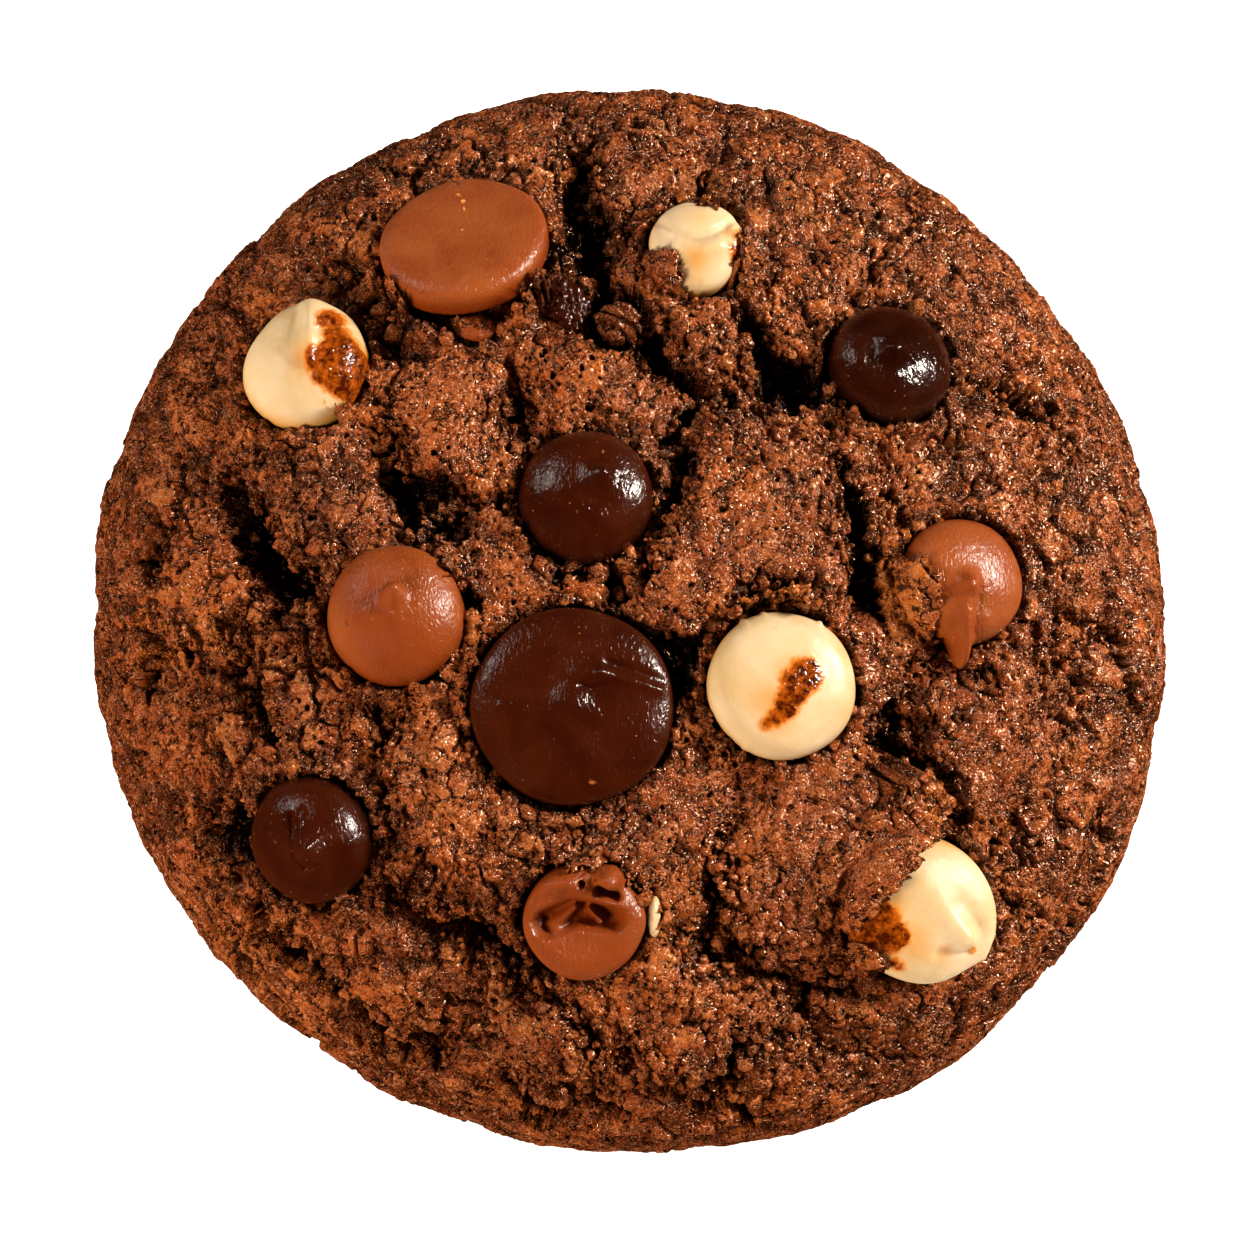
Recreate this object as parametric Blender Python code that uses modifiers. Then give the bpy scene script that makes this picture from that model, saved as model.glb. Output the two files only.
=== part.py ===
"""Triple chocolate cookie: a domed, cracked dough solid with its dark, milk and white chocolate pieces.

Z is up, and the origin is the centre of the flat base. Sizes in the tables are millimetres, and MM
turns them into Blender's metres where a mesh is made.
"""

import itertools
import math

import bmesh
import bpy
import numpy as np
from mathutils import Matrix, Vector

MM = 0.001

# The dough's turned profile: a broad dome over a flank that tucks in to a flat base.
DOME_RADIUS = 39.5
DOME_TOP = 26.6
WAIST_HEIGHT = 9.5
DOME_POWER = 2.35
BASE_RADIUS = 34.0
PROFILE_STEPS = (160, 60, 40)
BASE_SNAP = 0.06

# How far the plan leaves a circle: (waves around, share of the radius, heading of a bulge in degrees).
PLAN_WAVES = ((1, 0.006, -19.0), (2, 0.0125, -46.0), (3, 0.004, -48.0))

# The crust broke into plates as the dough rose, with fissures between them.
FISSURE_DEPTH = 2.0
FISSURE_HALF_WIDTH = 0.85
FLANK_FISSURE_SHARE = 0.45
FLANK_BAND = (12.0, 21.0)
PLATE_SHOULDER = 2.0
RELIEF_FOOT = 4.0
FLANK_STRETCH = 1.7
STRETCH_BAND = (24.0, 12.0)
DOUGH_DETAIL = 7
DOUGH_TRIANGLES = 6400
DOUGH_CREASE = 60.0

# Noise that makes the plates uneven: (size, shift or height, seed), and how wide the fissures gape.
WANDER_LONG = (6.0, 1.3, 21)
WANDER_SHORT = (2.4, 0.5, 31)
LUMPS = (13.0, 0.55, 51)
GAPE = (9.0, (-0.55, 0.35), 41)
NOISE_GAIN = 1.6

# Plates seen from above: name, place (x, y), reach and swell.
CROWN_PLATES = (
    ("centre_right", (9.6, 4.4), 8.6, 1.5),
    ("arc_left", (-12.6, 11.0), 6.4, 1.3),
    ("arc_right", (-2.2, 13.9), 6.2, 1.4),
    ("left", (-22.2, 6.4), 5.6, 1.2),
    ("far_left", (-31.2, 2.4), 5.0, 0.8),
    ("low_left", (-24.6, -8.6), 6.6, 1.3),
    ("mid_low_left", (-14.0, -18.2), 6.2, 1.1),
    ("bottom_left", (-16.6, -28.6), 6.4, 1.2),
    ("torn_sheet", (13.8, -20.6), 7.8, 1.6),
    ("right", (26.0, -11.6), 6.4, 1.3),
    ("upper_right", (24.6, 7.6), 5.2, 1.0),
    ("top_right", (12.8, 29.6), 6.8, 1.1),
    ("top_middle", (2.4, 32.6), 4.6, 0.9),
    ("top_left", (-23.4, 26.8), 6.0, 0.9),
    ("rubble_mound", (5.6, 18.8), 3.9, 0.9),
    ("top", (-9.6, 33.6), 5.2, 0.8),
    ("right_top", (25.4, 22.6), 5.6, 0.9),
    ("far_right", (33.2, 4.6), 5.4, 0.7),
    ("right_edge", (34.2, -8.6), 5.0, 0.6),
    ("low_right", (32.0, -18.6), 5.0, 0.8),
    ("bottom_right", (20.6, -31.0), 5.4, 0.9),
    ("bottom", (6.6, -32.4), 5.8, 1.0),
    ("bottom_middle", (-5.2, -33.6), 4.4, 0.8),
    ("far_low_left", (-32.4, -11.0), 5.0, 0.7),
    ("upper_left", (-31.0, 14.0), 4.6, 0.7),
    ("crumb_field", (-8.6, 0.4), 4.0, 0.4),
    ("crumb_strip", (12.2, 12.0), 2.8, 0.3),
    ("low_middle", (4.6, -16.6), 3.6, 0.5),
    ("under_disc", (-17.0, 19.4), 3.4, 0.8),
    ("right_crumbs", (18.6, -5.2), 2.6, 0.3),
)

# Flank plates stand in rings: height of the ring, number of plates, reach and swell.
FLANK_RINGS = ((15.5, 17, 4.6, 0.5), (9.0, 15, 4.9, 0.45), (3.6, 19, 4.2, 0.4))
FLANK_SEED = 11

# Gaping hollows where the crumb shows: place (x, y), radius and depth.
HOLLOWS = (
    ((-24.2, -0.4), 2.2, 1.5),
    ((-13.6, 4.8), 3.4, 1.4),
    ((3.2, -6.2), 2.6, 1.6),
    ((-28.4, -18.0), 3.2, 1.4),
    ((12.2, 14.2), 3.0, 1.5),
    ((2.6, 17.4), 2.0, 1.2),
    ((-3.4, 24.4), 2.4, 1.7),
    ((25.8, -7.4), 1.6, 1.2),
    ((19.4, -10.8), 2.4, 1.3),
    ((-6.8, -28.6), 2.4, 1.2),
    ((-16.6, 19.4), 2.8, 1.3),
)

# Each chocolate piece: place (x, y), radius, rise above the dough, nub (height, radius),
# flatness of its top, lean in degrees towards a heading, and how far its seat is above the dome.
CHIPS = {
    "milk_disc": dict(at=(-11.65, 24.5), radius=6.1, rise=1.7, nub=(0.0, 1.0), power=4.6,
                      lean=(16.0, 100.0), seat=0.7, slot="milk_chocolate"),
    "white_chip_left": dict(at=(-23.2, 15.9), radius=4.75, rise=3.4, nub=(0.9, 1.1), power=2.3,
                            lean=(4.0, 60.0), seat=0.1, slot="white_chocolate"),
    "white_chip_top": dict(at=(5.0, 24.4), radius=3.55, rise=2.2, nub=(0.0, 1.0), power=2.6,
                           lean=(6.0, 250.0), seat=0.3, slot="white_chocolate"),
    "dark_chip_right": dict(at=(19.0, 16.0), radius=4.5, rise=3.4, nub=(0.9, 0.9), power=2.2,
                            lean=(4.0, 100.0), seat=0.0, slot="dark_chocolate"),
    "dark_chip_middle": dict(at=(-3.0, 5.8), radius=4.8, rise=3.2, nub=(0.9, 0.9), power=2.2,
                             lean=(4.0, 60.0), seat=-0.3, slot="dark_chocolate"),
    "milk_chip_left": dict(at=(-16.5, -2.8), radius=5.0, rise=3.5, nub=(1.1, 0.9), power=2.3,
                           lean=(4.0, 90.0), seat=0.2, slot="milk_chocolate"),
    "milk_chip_right": dict(at=(23.95, 0.0), radius=4.55, rise=3.3, nub=(0.7, 1.0), power=2.3,
                            lean=(4.0, 300.0), seat=0.1, slot="milk_chocolate"),
    "dark_disc": dict(at=(-3.9, -9.4), radius=7.2, rise=1.9, nub=(0.5, 1.3), power=3.4,
                      lean=(2.0, 90.0), seat=-0.2, slot="dark_chocolate"),
    "white_chip_middle": dict(at=(11.0, -7.9), radius=5.3, rise=2.9, nub=(0.2, 1.4), power=2.6,
                              lean=(3.0, 250.0), seat=0.2, slot="white_chocolate"),
    "dark_chip_low_left": dict(at=(-22.6, -18.4), radius=4.6, rise=3.2, nub=(0.9, 1.1), power=2.2,
                               lean=(3.0, 200.0), seat=0.0, slot="dark_chocolate"),
    "milk_chip_melted": dict(at=(-3.15, -24.45), radius=4.2, rise=1.9, nub=(0.0, 1.0), power=3.2,
                             lean=(3.0, 270.0), seat=0.1, slot="milk_chocolate"),
    "white_chip_low_right": dict(at=(20.6, -23.2), radius=5.25, rise=3.2, nub=(0.6, 1.1), power=2.3,
                                 lean=(6.0, 300.0), seat=0.3, slot="white_chocolate"),
}
CHIP_SIDES = 20
CHIP_ROWS = (0.0, 0.09, 0.2, 0.36, 0.55, 0.76, 1.0)
CHIP_ROOT_ROWS = (0.45, 0.75, 1.0)
CHIP_ROOT_POWER = 3.0
CHIP_ROOT_DEPTH = 1.9
CHIP_SEAT_BLEND = 2.4
SEAT_ROWS = (0.0, 0.5, 1.0)
SEAT_HEADROOM = 1.0
SEAT_POWER = 2.6

# The melted chip's bowl (depth, radius), and the top white chip's waist and its crease
# (depth, half width, place).
MELT_BOWL = (0.9, 2.6)
WHITE_PINCH = 0.16
WHITE_CREASE = (0.5, 0.8, 0.3)

# Small pieces that peep out of the dough: place (x, y), half sizes along their own axes,
# turn about the vertical in degrees and slot.
BITS = {
    "milk_bit": dict(at=(-10.9, 18.3), half=(1.5, 0.8, 0.8), turn=-8.0, seat=0.5, slot="milk_chocolate"),
    "white_bit": dict(at=(1.95, -24.2), half=(0.5, 1.5, 0.8), turn=0.0, seat=0.1, slot="white_chocolate"),
    "dark_chunk_top": dict(at=(-4.4, 20.4), half=(1.5, 2.0, 1.2), turn=25.0, seat=-0.3,
                           slot="dark_chocolate"),
}
BIT_DETAIL = 3
BIT_SEAT_DETAIL = 2
BIT_BLUNTNESS = 3
TOUCH_GAP = 0.34
BIT_SEAT_GAP = 0.55

SLOTS = {
    "dough": ("#70402A", 0.72),
    "dark_chocolate": ("#35150E", 0.34),
    "milk_chocolate": ("#8A4A2C", 0.42),
    "white_chocolate": ("#EBD9A4", 0.40),
}


def linear(channel):
    """One sRGB channel from 0 to 1 as linear light."""
    return channel / 12.92 if channel <= 0.04045 else ((channel + 0.055) / 1.055) ** 2.4


def slot_material(slot):
    """A Principled material in the slot's colour and roughness."""
    colour, roughness = SLOTS[slot]
    material = bpy.data.materials.new(slot)
    material.use_nodes = True
    shader = material.node_tree.nodes["Principled BSDF"]
    red, green, blue = (linear(int(colour[i:i + 2], 16) / 255) for i in (1, 3, 5))
    shader.inputs["Base Color"].default_value = (red, green, blue, 1.0)
    shader.inputs["Roughness"].default_value = roughness
    shader.inputs["Metallic"].default_value = 0.0
    return material


def ease(low, high, value):
    """A smooth step from 0 at low to 1 at high."""
    share = np.clip((value - low) / (high - low), 0.0, 1.0)
    return share * share * (3.0 - 2.0 * share)


def gradient_noise(points, seed):
    """Smooth noise of about -1 to 1 at each point, one bump to a unit of length."""
    draw = np.random.default_rng(seed)
    order = draw.permutation(256)
    slopes = draw.normal(size=(256, 3))
    slopes /= np.linalg.norm(slopes, axis=1)[:, None]
    cell = np.floor(points).astype(int)
    part = points - cell
    fade = part ** 3 * (part * (part * 6.0 - 15.0) + 10.0)
    total = np.zeros(len(points))
    for corner in itertools.product((0, 1), repeat=3):
        key = order[(cell[:, 0] + corner[0]) % 256]
        key = order[(key + cell[:, 1] + corner[1]) % 256]
        key = order[(key + cell[:, 2] + corner[2]) % 256]
        share = np.prod(np.where(np.array(corner) == 1, fade, 1.0 - fade), axis=1)
        total += share * np.sum(slopes[key] * (part - corner), axis=1)
    return total * NOISE_GAIN


def wander(points, size, shift, seed):
    """Each point's shift by three noises, for edges that wander."""
    return shift * np.stack([gradient_noise(points / size, seed + axis) for axis in range(3)], axis=1)


def plan_factor(heading):
    """The plan's radius at a heading, as a share of the circle's."""
    factor = np.ones_like(heading)
    for waves, share, bulge in PLAN_WAVES:
        factor = factor + share * np.cos(waves * (heading - math.radians(bulge)))
    return factor


def profile():
    """The dough's half section from the top of the dome to the middle of the base, as (radius, height)."""
    crown_steps, tuck_steps, base_steps = PROFILE_STEPS
    crown = np.linspace(0.0, math.pi / 2, crown_steps)
    radius = DOME_RADIUS * np.sin(crown) ** (2 / DOME_POWER)
    height = WAIST_HEIGHT + (DOME_TOP - WAIST_HEIGHT) * np.cos(crown) ** (2 / DOME_POWER)
    tuck = np.linspace(0.0, math.pi / 2, tuck_steps)[1:]
    radius = np.append(radius, BASE_RADIUS + (DOME_RADIUS - BASE_RADIUS) * np.cos(tuck))
    height = np.append(height, WAIST_HEIGHT * (1.0 - np.sin(tuck)))
    base = np.linspace(BASE_RADIUS, 0.0, base_steps)[1:]
    return np.append(radius, base), np.append(height, np.zeros_like(base))


def dome_surface(directions):
    """Each direction's place on the smooth dome, and the outward normal there."""
    radius, height = profile()
    run = np.append(0.0, np.cumsum(np.hypot(np.diff(radius), np.diff(height))))
    down = np.arccos(np.clip(directions[:, 2], -1.0, 1.0)) / math.pi * run[-1]
    heading = np.arctan2(directions[:, 1], directions[:, 0])
    reach = np.interp(down, run, radius) * plan_factor(heading)
    level = np.interp(down, run, height)
    points = np.stack([reach * np.cos(heading), reach * np.sin(heading), level], axis=1)
    out = -np.interp(down, run, np.gradient(height, run))
    rise = np.interp(down, run, np.gradient(radius, run))
    normals = np.stack([out * np.cos(heading), out * np.sin(heading), rise], axis=1)
    return points, normals / np.linalg.norm(normals, axis=1)[:, None]


def dome_point(x, y):
    """The smooth dome's height at a place seen from above, and its normal there."""
    factor = float(plan_factor(np.array(math.atan2(y, x))))
    radius = min(math.hypot(x, y) / factor, DOME_RADIUS * 0.999)
    share = radius / DOME_RADIUS
    crown = DOME_TOP - WAIST_HEIGHT
    height = WAIST_HEIGHT + crown * (1.0 - share ** DOME_POWER) ** (1.0 / DOME_POWER)
    steepness = (radius / (height - WAIST_HEIGHT)) ** (DOME_POWER - 1.0)
    slope = (crown / DOME_RADIUS) ** DOME_POWER * steepness
    spread = max(math.hypot(x, y), 1e-6)
    return Vector((x, y, height)), Vector((slope * x / spread, slope * y / spread, 1.0)).normalized()


def flank_point(heading, height):
    """A place on the crown's flank at a heading and height."""
    share = (height - WAIST_HEIGHT) / (DOME_TOP - WAIST_HEIGHT)
    if share >= 0.0:
        radius = DOME_RADIUS * (1.0 - share ** DOME_POWER) ** (1.0 / DOME_POWER)
    else:
        tuck = math.sqrt(1.0 - (1.0 - height / WAIST_HEIGHT) ** 2)
        radius = BASE_RADIUS + (DOME_RADIUS - BASE_RADIUS) * tuck
    radius *= float(plan_factor(np.array(heading)))
    return Vector((radius * math.cos(heading), radius * math.sin(heading), height))


def plate_table():
    """Every crust plate's centre, reach and swell: the crown's by place, the flank's by rings."""
    centres = [dome_point(*place)[0] for _, place, _, _ in CROWN_PLATES]
    reaches = [reach for _, _, reach, _ in CROWN_PLATES]
    swells = [swell for _, _, _, swell in CROWN_PLATES]
    draw = np.random.default_rng(FLANK_SEED)
    for height, count, reach, swell in FLANK_RINGS:
        for step in range(count):
            heading = math.tau * (step + draw.uniform(-0.25, 0.25)) / count
            centres.append(flank_point(heading, height + draw.uniform(-1.2, 1.2)))
            reaches.append(reach * draw.uniform(0.8, 1.2))
            swells.append(swell * draw.uniform(0.6, 1.3))
    return np.array(centres), np.array(reaches), np.array(swells)


def plate_relief(points):
    """Height of the crust plates over the smooth dome, with the fissures between them."""
    centres, reaches, swells = plate_table()
    moved = points + wander(points, *WANDER_LONG) + wander(points, *WANDER_SHORT)
    stretch = np.ones_like(points)
    stretch[:, 2] += (FLANK_STRETCH - 1.0) * ease(*STRETCH_BAND, points[:, 2])
    away = np.linalg.norm((moved[:, None, :] - centres[None]) * stretch[:, None, :], axis=2) - reaches
    order = np.argsort(away, axis=1)[:, :2]
    rows = np.arange(len(points))
    inside = 0.5 * (away[rows, order[:, 1]] - away[rows, order[:, 0]])
    cushion = swells[order[:, 0]] * (1.0 - np.exp(-inside / PLATE_SHOULDER))
    gape = ease(*GAPE[1], gradient_noise(points / GAPE[0], GAPE[2]))
    gape *= FLANK_FISSURE_SHARE + (1.0 - FLANK_FISSURE_SHARE) * ease(*FLANK_BAND, points[:, 2])
    lumps = LUMPS[1] * gradient_noise(points / LUMPS[0], LUMPS[2])
    return cushion + lumps - FISSURE_DEPTH * gape * np.exp(-(inside / FISSURE_HALF_WIDTH) ** 2)


def hollow_relief(points):
    """Depth of the hollows between the plates."""
    depth = np.zeros(len(points))
    for place, radius, sunk in HOLLOWS:
        centre = np.array(dome_point(*place)[0])
        away = np.linalg.norm(points - centre, axis=1)
        depth -= sunk * np.exp(-(away / radius) ** 2)
    return depth


def seat_frame(at, seat, lean=(0.0, 0.0)):
    """A chocolate piece's frame: its middle at the dough's surface, and Z out of the dome."""
    point, normal = dome_point(*at)
    tilt, heading = lean
    axis = normal + math.tan(math.radians(tilt)) * Vector((math.cos(math.radians(heading)),
                                                          math.sin(math.radians(heading)), 0.0))
    axis.normalize()
    turn = Vector((0.0, 0.0, 1.0)).rotation_difference(axis).to_matrix().to_4x4()
    return Matrix.Translation(point + seat * normal) @ turn


def seat_relief(points, normals, relief, frame, radius):
    """The relief, levelled round a chocolate piece so that the dough meets it at its widest."""
    centre = np.array(frame.translation)
    axis = np.array(frame.to_3x3() @ Vector((0.0, 0.0, 1.0)))
    away = points - centre
    along = away @ axis
    aside = np.linalg.norm(away - along[:, None] * axis, axis=1)
    near = np.where(np.abs(along) < radius, 1.0 - ease(radius + 0.3, radius + CHIP_SEAT_BLEND, aside), 0.0)
    level = -along / np.maximum(normals @ axis, 0.3)
    return relief * (1.0 - near) + level * near


def chip_section(radius, rise, power, nub, grow=0.0, rows=CHIP_ROWS):
    """A chip's half section, top to bottom, as (radius, height), grown all round by grow."""
    section = []
    for share in rows:
        crown = share * math.pi / 2
        across = radius * math.sin(crown) ** (2 / power)
        height = rise * math.cos(crown) ** (2 / power) + nub[0] * math.exp(-(across / nub[1]) ** 2)
        section.append((across + grow * math.sin(crown), height + grow * math.cos(crown)))
    for share in CHIP_ROOT_ROWS:
        root = share * math.pi / 2
        across = radius * math.cos(root) ** (2 / CHIP_ROOT_POWER)
        height = -CHIP_ROOT_DEPTH * math.sin(root) ** (2 / CHIP_ROOT_POWER)
        section.append((across + grow * math.cos(root), height - grow * math.sin(root)))
    section[0] = (0.0, section[0][1])
    section[-1] = (0.0, section[-1][1])
    return section


def plain_mesh(source, name):
    """The source object's evaluated shape as a mesh of its own, with the source removed."""
    bpy.context.view_layer.update()
    mesh = bpy.data.meshes.new_from_object(source.evaluated_get(bpy.context.evaluated_depsgraph_get()))
    mesh.name = name
    bpy.data.objects.remove(source)
    return mesh


def turned_mesh(name, section, sides):
    """A closed turned mesh from a half section that runs top to bottom."""
    mesh = bpy.data.meshes.new(name + "_section")
    points = [(across * MM, 0.0, height * MM) for across, height in section]
    mesh.from_pydata(points, [(i, i + 1) for i in range(len(points) - 1)], [])
    source = bpy.data.objects.new(name + "_section", mesh)
    bpy.context.scene.collection.objects.link(source)
    screw = source.modifiers.new("turn", "SCREW")
    screw.steps = sides
    screw.render_steps = sides
    screw.use_merge_vertices = True
    screw.merge_threshold = 0.000002
    return plain_mesh(source, name)


def points_of(mesh):
    """A mesh's points as rows, in millimetres."""
    flat = np.empty(len(mesh.vertices) * 3)
    mesh.vertices.foreach_get("co", flat)
    return flat.reshape(-1, 3) / MM


def move_points(mesh, points):
    """Puts the mesh's points where the rows say, in millimetres."""
    mesh.vertices.foreach_set("co", (points * MM).ravel())
    mesh.update()


def shape_chip(name, mesh, radius):
    """Forms that single chips have: the melted chip's bowl and the top white chip's pinched waist."""
    points = points_of(mesh)
    above = ease(0.0, 0.6, points[:, 2])
    if name == "milk_chip_melted":
        across = np.hypot(points[:, 0], points[:, 1])
        points[:, 2] -= MELT_BOWL[0] * np.exp(-(across / MELT_BOWL[1]) ** 4) * above
    if name == "white_chip_top":
        heading = np.arctan2(points[:, 1], points[:, 0])
        points[:, :2] *= (1.0 + WHITE_PINCH * (np.cos(2.0 * heading) - 1.0) / 2.0)[:, None]
        depth, half_width, place = WHITE_CREASE
        points[:, 2] -= depth * np.exp(-((points[:, 1] - place * radius) / half_width) ** 2) * above
    move_points(mesh, points)


def bit_mesh(name, half, grow=0.0, detail=BIT_DETAIL):
    """A small broken piece: a ball drawn out to its half sizes, with worn flats."""
    shape = bmesh.new()
    bmesh.ops.create_icosphere(shape, subdivisions=detail, radius=1.0)
    for vertex in shape.verts:
        blunt = sum(abs(part) ** BIT_BLUNTNESS for part in vertex.co) ** (-1 / BIT_BLUNTNESS)
        vertex.co = Vector(part * blunt * (size + grow) * MM for part, size in zip(vertex.co, half))
    mesh = bpy.data.meshes.new(name)
    shape.to_mesh(mesh)
    shape.free()
    return mesh


def add_object(name, mesh, collection, frame, slot=None):
    """An object in a collection, placed by a frame in millimetres, hung on the cookie's empty."""
    piece = bpy.data.objects.new(name, mesh)
    collection.objects.link(piece)
    piece.parent = bpy.data.objects["cookie"]
    piece.location = frame.translation * MM
    piece.rotation_mode = "QUATERNION"
    piece.rotation_quaternion = frame.to_quaternion()
    if slot:
        mesh.materials.clear()
        mesh.materials.append(bpy.data.materials[slot])
    return piece


def add_cutter(name, mesh, collection, frame):
    """A seat's shape, which the dough is cut back to and which isn't part of the cookie."""
    cutter = add_object(name + "_seat", mesh, collection, frame)
    cutter.hide_render = True
    cutter.display_type = "WIRE"


def add_chips(cookie, seats):
    """The chips and discs, each with a slightly larger seat to cut into the dough."""
    side_share = math.cos(math.pi / CHIP_SIDES)
    for name, chip in CHIPS.items():
        frame = seat_frame(chip["at"], chip["seat"], chip["lean"])
        section = chip_section(chip["radius"], chip["rise"], chip["power"], chip["nub"])
        mesh = turned_mesh(name, section, CHIP_SIDES)
        shape_chip(name, mesh, chip["radius"])
        piece = add_object(name, mesh, cookie, frame, chip["slot"])
        piece.data.shade_smooth()
        radius = chip["radius"] / side_share + TOUCH_GAP
        rise = chip["rise"] + chip["nub"][0] + SEAT_HEADROOM
        seat = chip_section(radius, rise, SEAT_POWER, (0.0, 1.0), TOUCH_GAP, SEAT_ROWS)
        add_cutter(name, turned_mesh(name + "_seat", seat, CHIP_SIDES), seats, frame)


def add_bits(cookie, seats):
    """The small broken pieces and their seats."""
    for name, bit in BITS.items():
        frame = seat_frame(bit["at"], bit["seat"]) @ Matrix.Rotation(math.radians(bit["turn"]), 4, "Z")
        piece = add_object(name, bit_mesh(name, bit["half"]), cookie, frame, bit["slot"])
        piece.data.shade_smooth()
        add_cutter(name, bit_mesh(name + "_seat", bit["half"], BIT_SEAT_GAP, BIT_SEAT_DETAIL), seats, frame)


def dough_relief(points, normals):
    """The whole relief over the smooth dome, in millimetres along the normal."""
    relief = plate_relief(points) + hollow_relief(points)
    for chip in CHIPS.values():
        frame = seat_frame(chip["at"], chip["seat"], chip["lean"])
        relief = seat_relief(points, normals, relief, frame, chip["radius"])
    for bit in BITS.values():
        relief = seat_relief(points, normals, relief, seat_frame(bit["at"], bit["seat"]), bit["half"][0])
    return relief * ease(0.0, RELIEF_FOOT, points[:, 2])


def add_dough(cookie, seats):
    """The dough: a ball drawn to the dome's profile, broken into plates and cut for its chocolate."""
    bpy.ops.mesh.primitive_ico_sphere_add(subdivisions=DOUGH_DETAIL, radius=1.0)
    ball = bpy.context.active_object
    points, normals = dome_surface(points_of(ball.data) * MM)
    move_points(ball.data, points + normals * dough_relief(points, normals)[:, None])
    thin = ball.modifiers.new("thin", "DECIMATE")
    thin.ratio = DOUGH_TRIANGLES / len(ball.data.polygons)
    mesh = plain_mesh(ball, "dough")
    points = points_of(mesh)
    points[points[:, 2] < BASE_SNAP, 2] = 0.0
    move_points(mesh, points)
    dough = add_object("dough", mesh, cookie, Matrix.Identity(4), "dough")
    dough.data.set_sharp_from_angle(angle=math.radians(DOUGH_CREASE))
    cut = dough.modifiers.new("seats", "BOOLEAN")
    cut.operation = "DIFFERENCE"
    cut.operand_type = "COLLECTION"
    cut.collection = seats


def build():
    """Clears the scene and builds the cookie."""
    for item in list(bpy.data.objects):
        bpy.data.objects.remove(item)
    for slot in SLOTS:
        slot_material(slot)
    cookie = bpy.data.collections.new("triple_chocolate_cookie")
    seats = bpy.data.collections.new("chocolate_seats")
    for collection in (cookie, seats):
        bpy.context.scene.collection.children.link(collection)
    cookie.objects.link(bpy.data.objects.new("cookie", None))
    add_chips(cookie, seats)
    add_bits(cookie, seats)
    add_dough(cookie, seats)


build()
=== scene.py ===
"""Triple chocolate cookie: the baked look of the dough and its chocolate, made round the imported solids."""

import itertools
import math

import bpy
import numpy as np
from mathutils import Matrix, Vector


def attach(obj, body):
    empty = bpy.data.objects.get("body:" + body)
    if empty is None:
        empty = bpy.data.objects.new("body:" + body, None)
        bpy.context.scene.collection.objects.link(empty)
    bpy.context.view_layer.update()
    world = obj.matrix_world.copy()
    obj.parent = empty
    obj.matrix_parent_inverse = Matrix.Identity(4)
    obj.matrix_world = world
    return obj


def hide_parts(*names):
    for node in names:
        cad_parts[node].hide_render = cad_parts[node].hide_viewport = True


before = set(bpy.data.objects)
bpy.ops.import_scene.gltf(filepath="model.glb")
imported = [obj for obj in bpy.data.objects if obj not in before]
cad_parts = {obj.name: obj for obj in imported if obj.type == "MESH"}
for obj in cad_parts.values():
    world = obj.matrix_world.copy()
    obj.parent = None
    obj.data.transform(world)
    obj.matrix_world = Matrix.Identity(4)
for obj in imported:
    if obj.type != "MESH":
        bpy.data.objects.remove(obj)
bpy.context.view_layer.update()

# Dough: the form
# One ball of cocoa dough that spread and rose into a dome on its tray. Its crust set first and then
# broke into plates, so fissures with open crumb run between them. Lengths are millimetres.

MM = 0.001
DOME_RADIUS = 39.5
DOME_TOP = 26.6
WAIST_HEIGHT = 9.5
DOME_POWER = 2.35
BASE_RADIUS = 34.0
PLAN_WAVES = ((1, 0.006, -19.0), (2, 0.0125, -46.0), (3, 0.004, -48.0))

# Plates of the crown: place (x, y), reach and swell.
PLATES = {
    "centre_right": ((9.6, 4.4), 8.6, 1.5),
    "arc_left": ((-12.6, 11.0), 6.4, 1.3),
    "arc_right": ((-2.2, 13.9), 6.2, 1.4),
    "left": ((-22.2, 6.4), 5.6, 1.2),
    "far_left": ((-31.2, 2.4), 5.0, 0.8),
    "low_left": ((-24.6, -8.6), 6.6, 1.3),
    "mid_low_left": ((-14.0, -18.2), 6.2, 1.1),
    "bottom_left": ((-16.6, -28.6), 6.4, 1.2),
    "torn_sheet": ((13.8, -20.6), 7.8, 1.6),
    "right": ((26.0, -11.6), 6.4, 1.3),
    "upper_right": ((24.6, 7.6), 5.2, 1.0),
    "top_right": ((12.8, 29.6), 6.8, 1.1),
    "top_middle": ((2.4, 32.6), 4.6, 0.9),
    "top_left": ((-23.4, 26.8), 6.0, 0.9),
    "rubble_mound": ((5.6, 18.8), 3.9, 0.9),
    "top": ((-9.6, 33.6), 5.2, 0.8),
    "right_top": ((25.4, 22.6), 5.6, 0.9),
    "far_right": ((33.2, 4.6), 5.4, 0.7),
    "right_edge": ((34.2, -8.6), 5.0, 0.6),
    "low_right": ((32.0, -18.6), 5.0, 0.8),
    "bottom_right": ((20.6, -31.0), 5.4, 0.9),
    "bottom": ((6.6, -32.4), 5.8, 1.0),
    "bottom_middle": ((-5.2, -33.6), 4.4, 0.8),
    "far_low_left": ((-32.4, -11.0), 5.0, 0.7),
    "upper_left": ((-31.0, 14.0), 4.6, 0.7),
    "crumb_field": ((-8.6, 0.4), 4.0, 0.4),
    "crumb_strip": ((12.2, 12.0), 2.8, 0.3),
    "low_middle": ((4.6, -16.6), 3.6, 0.5),
    "under_disc": ((-17.0, 19.4), 3.4, 0.8),
    "right_crumbs": ((18.6, -5.2), 2.6, 0.3),
}

# Rings of plates round the flank: height, number, reach and swell.
FLANK_RINGS = ((15.5, 17, 4.6, 0.5), (9.0, 15, 4.9, 0.45), (3.6, 19, 4.2, 0.4))
FLANK_SEED = 11
PLATE_LIFT = 0.35
PLATE_LEAN = 0.06

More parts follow.
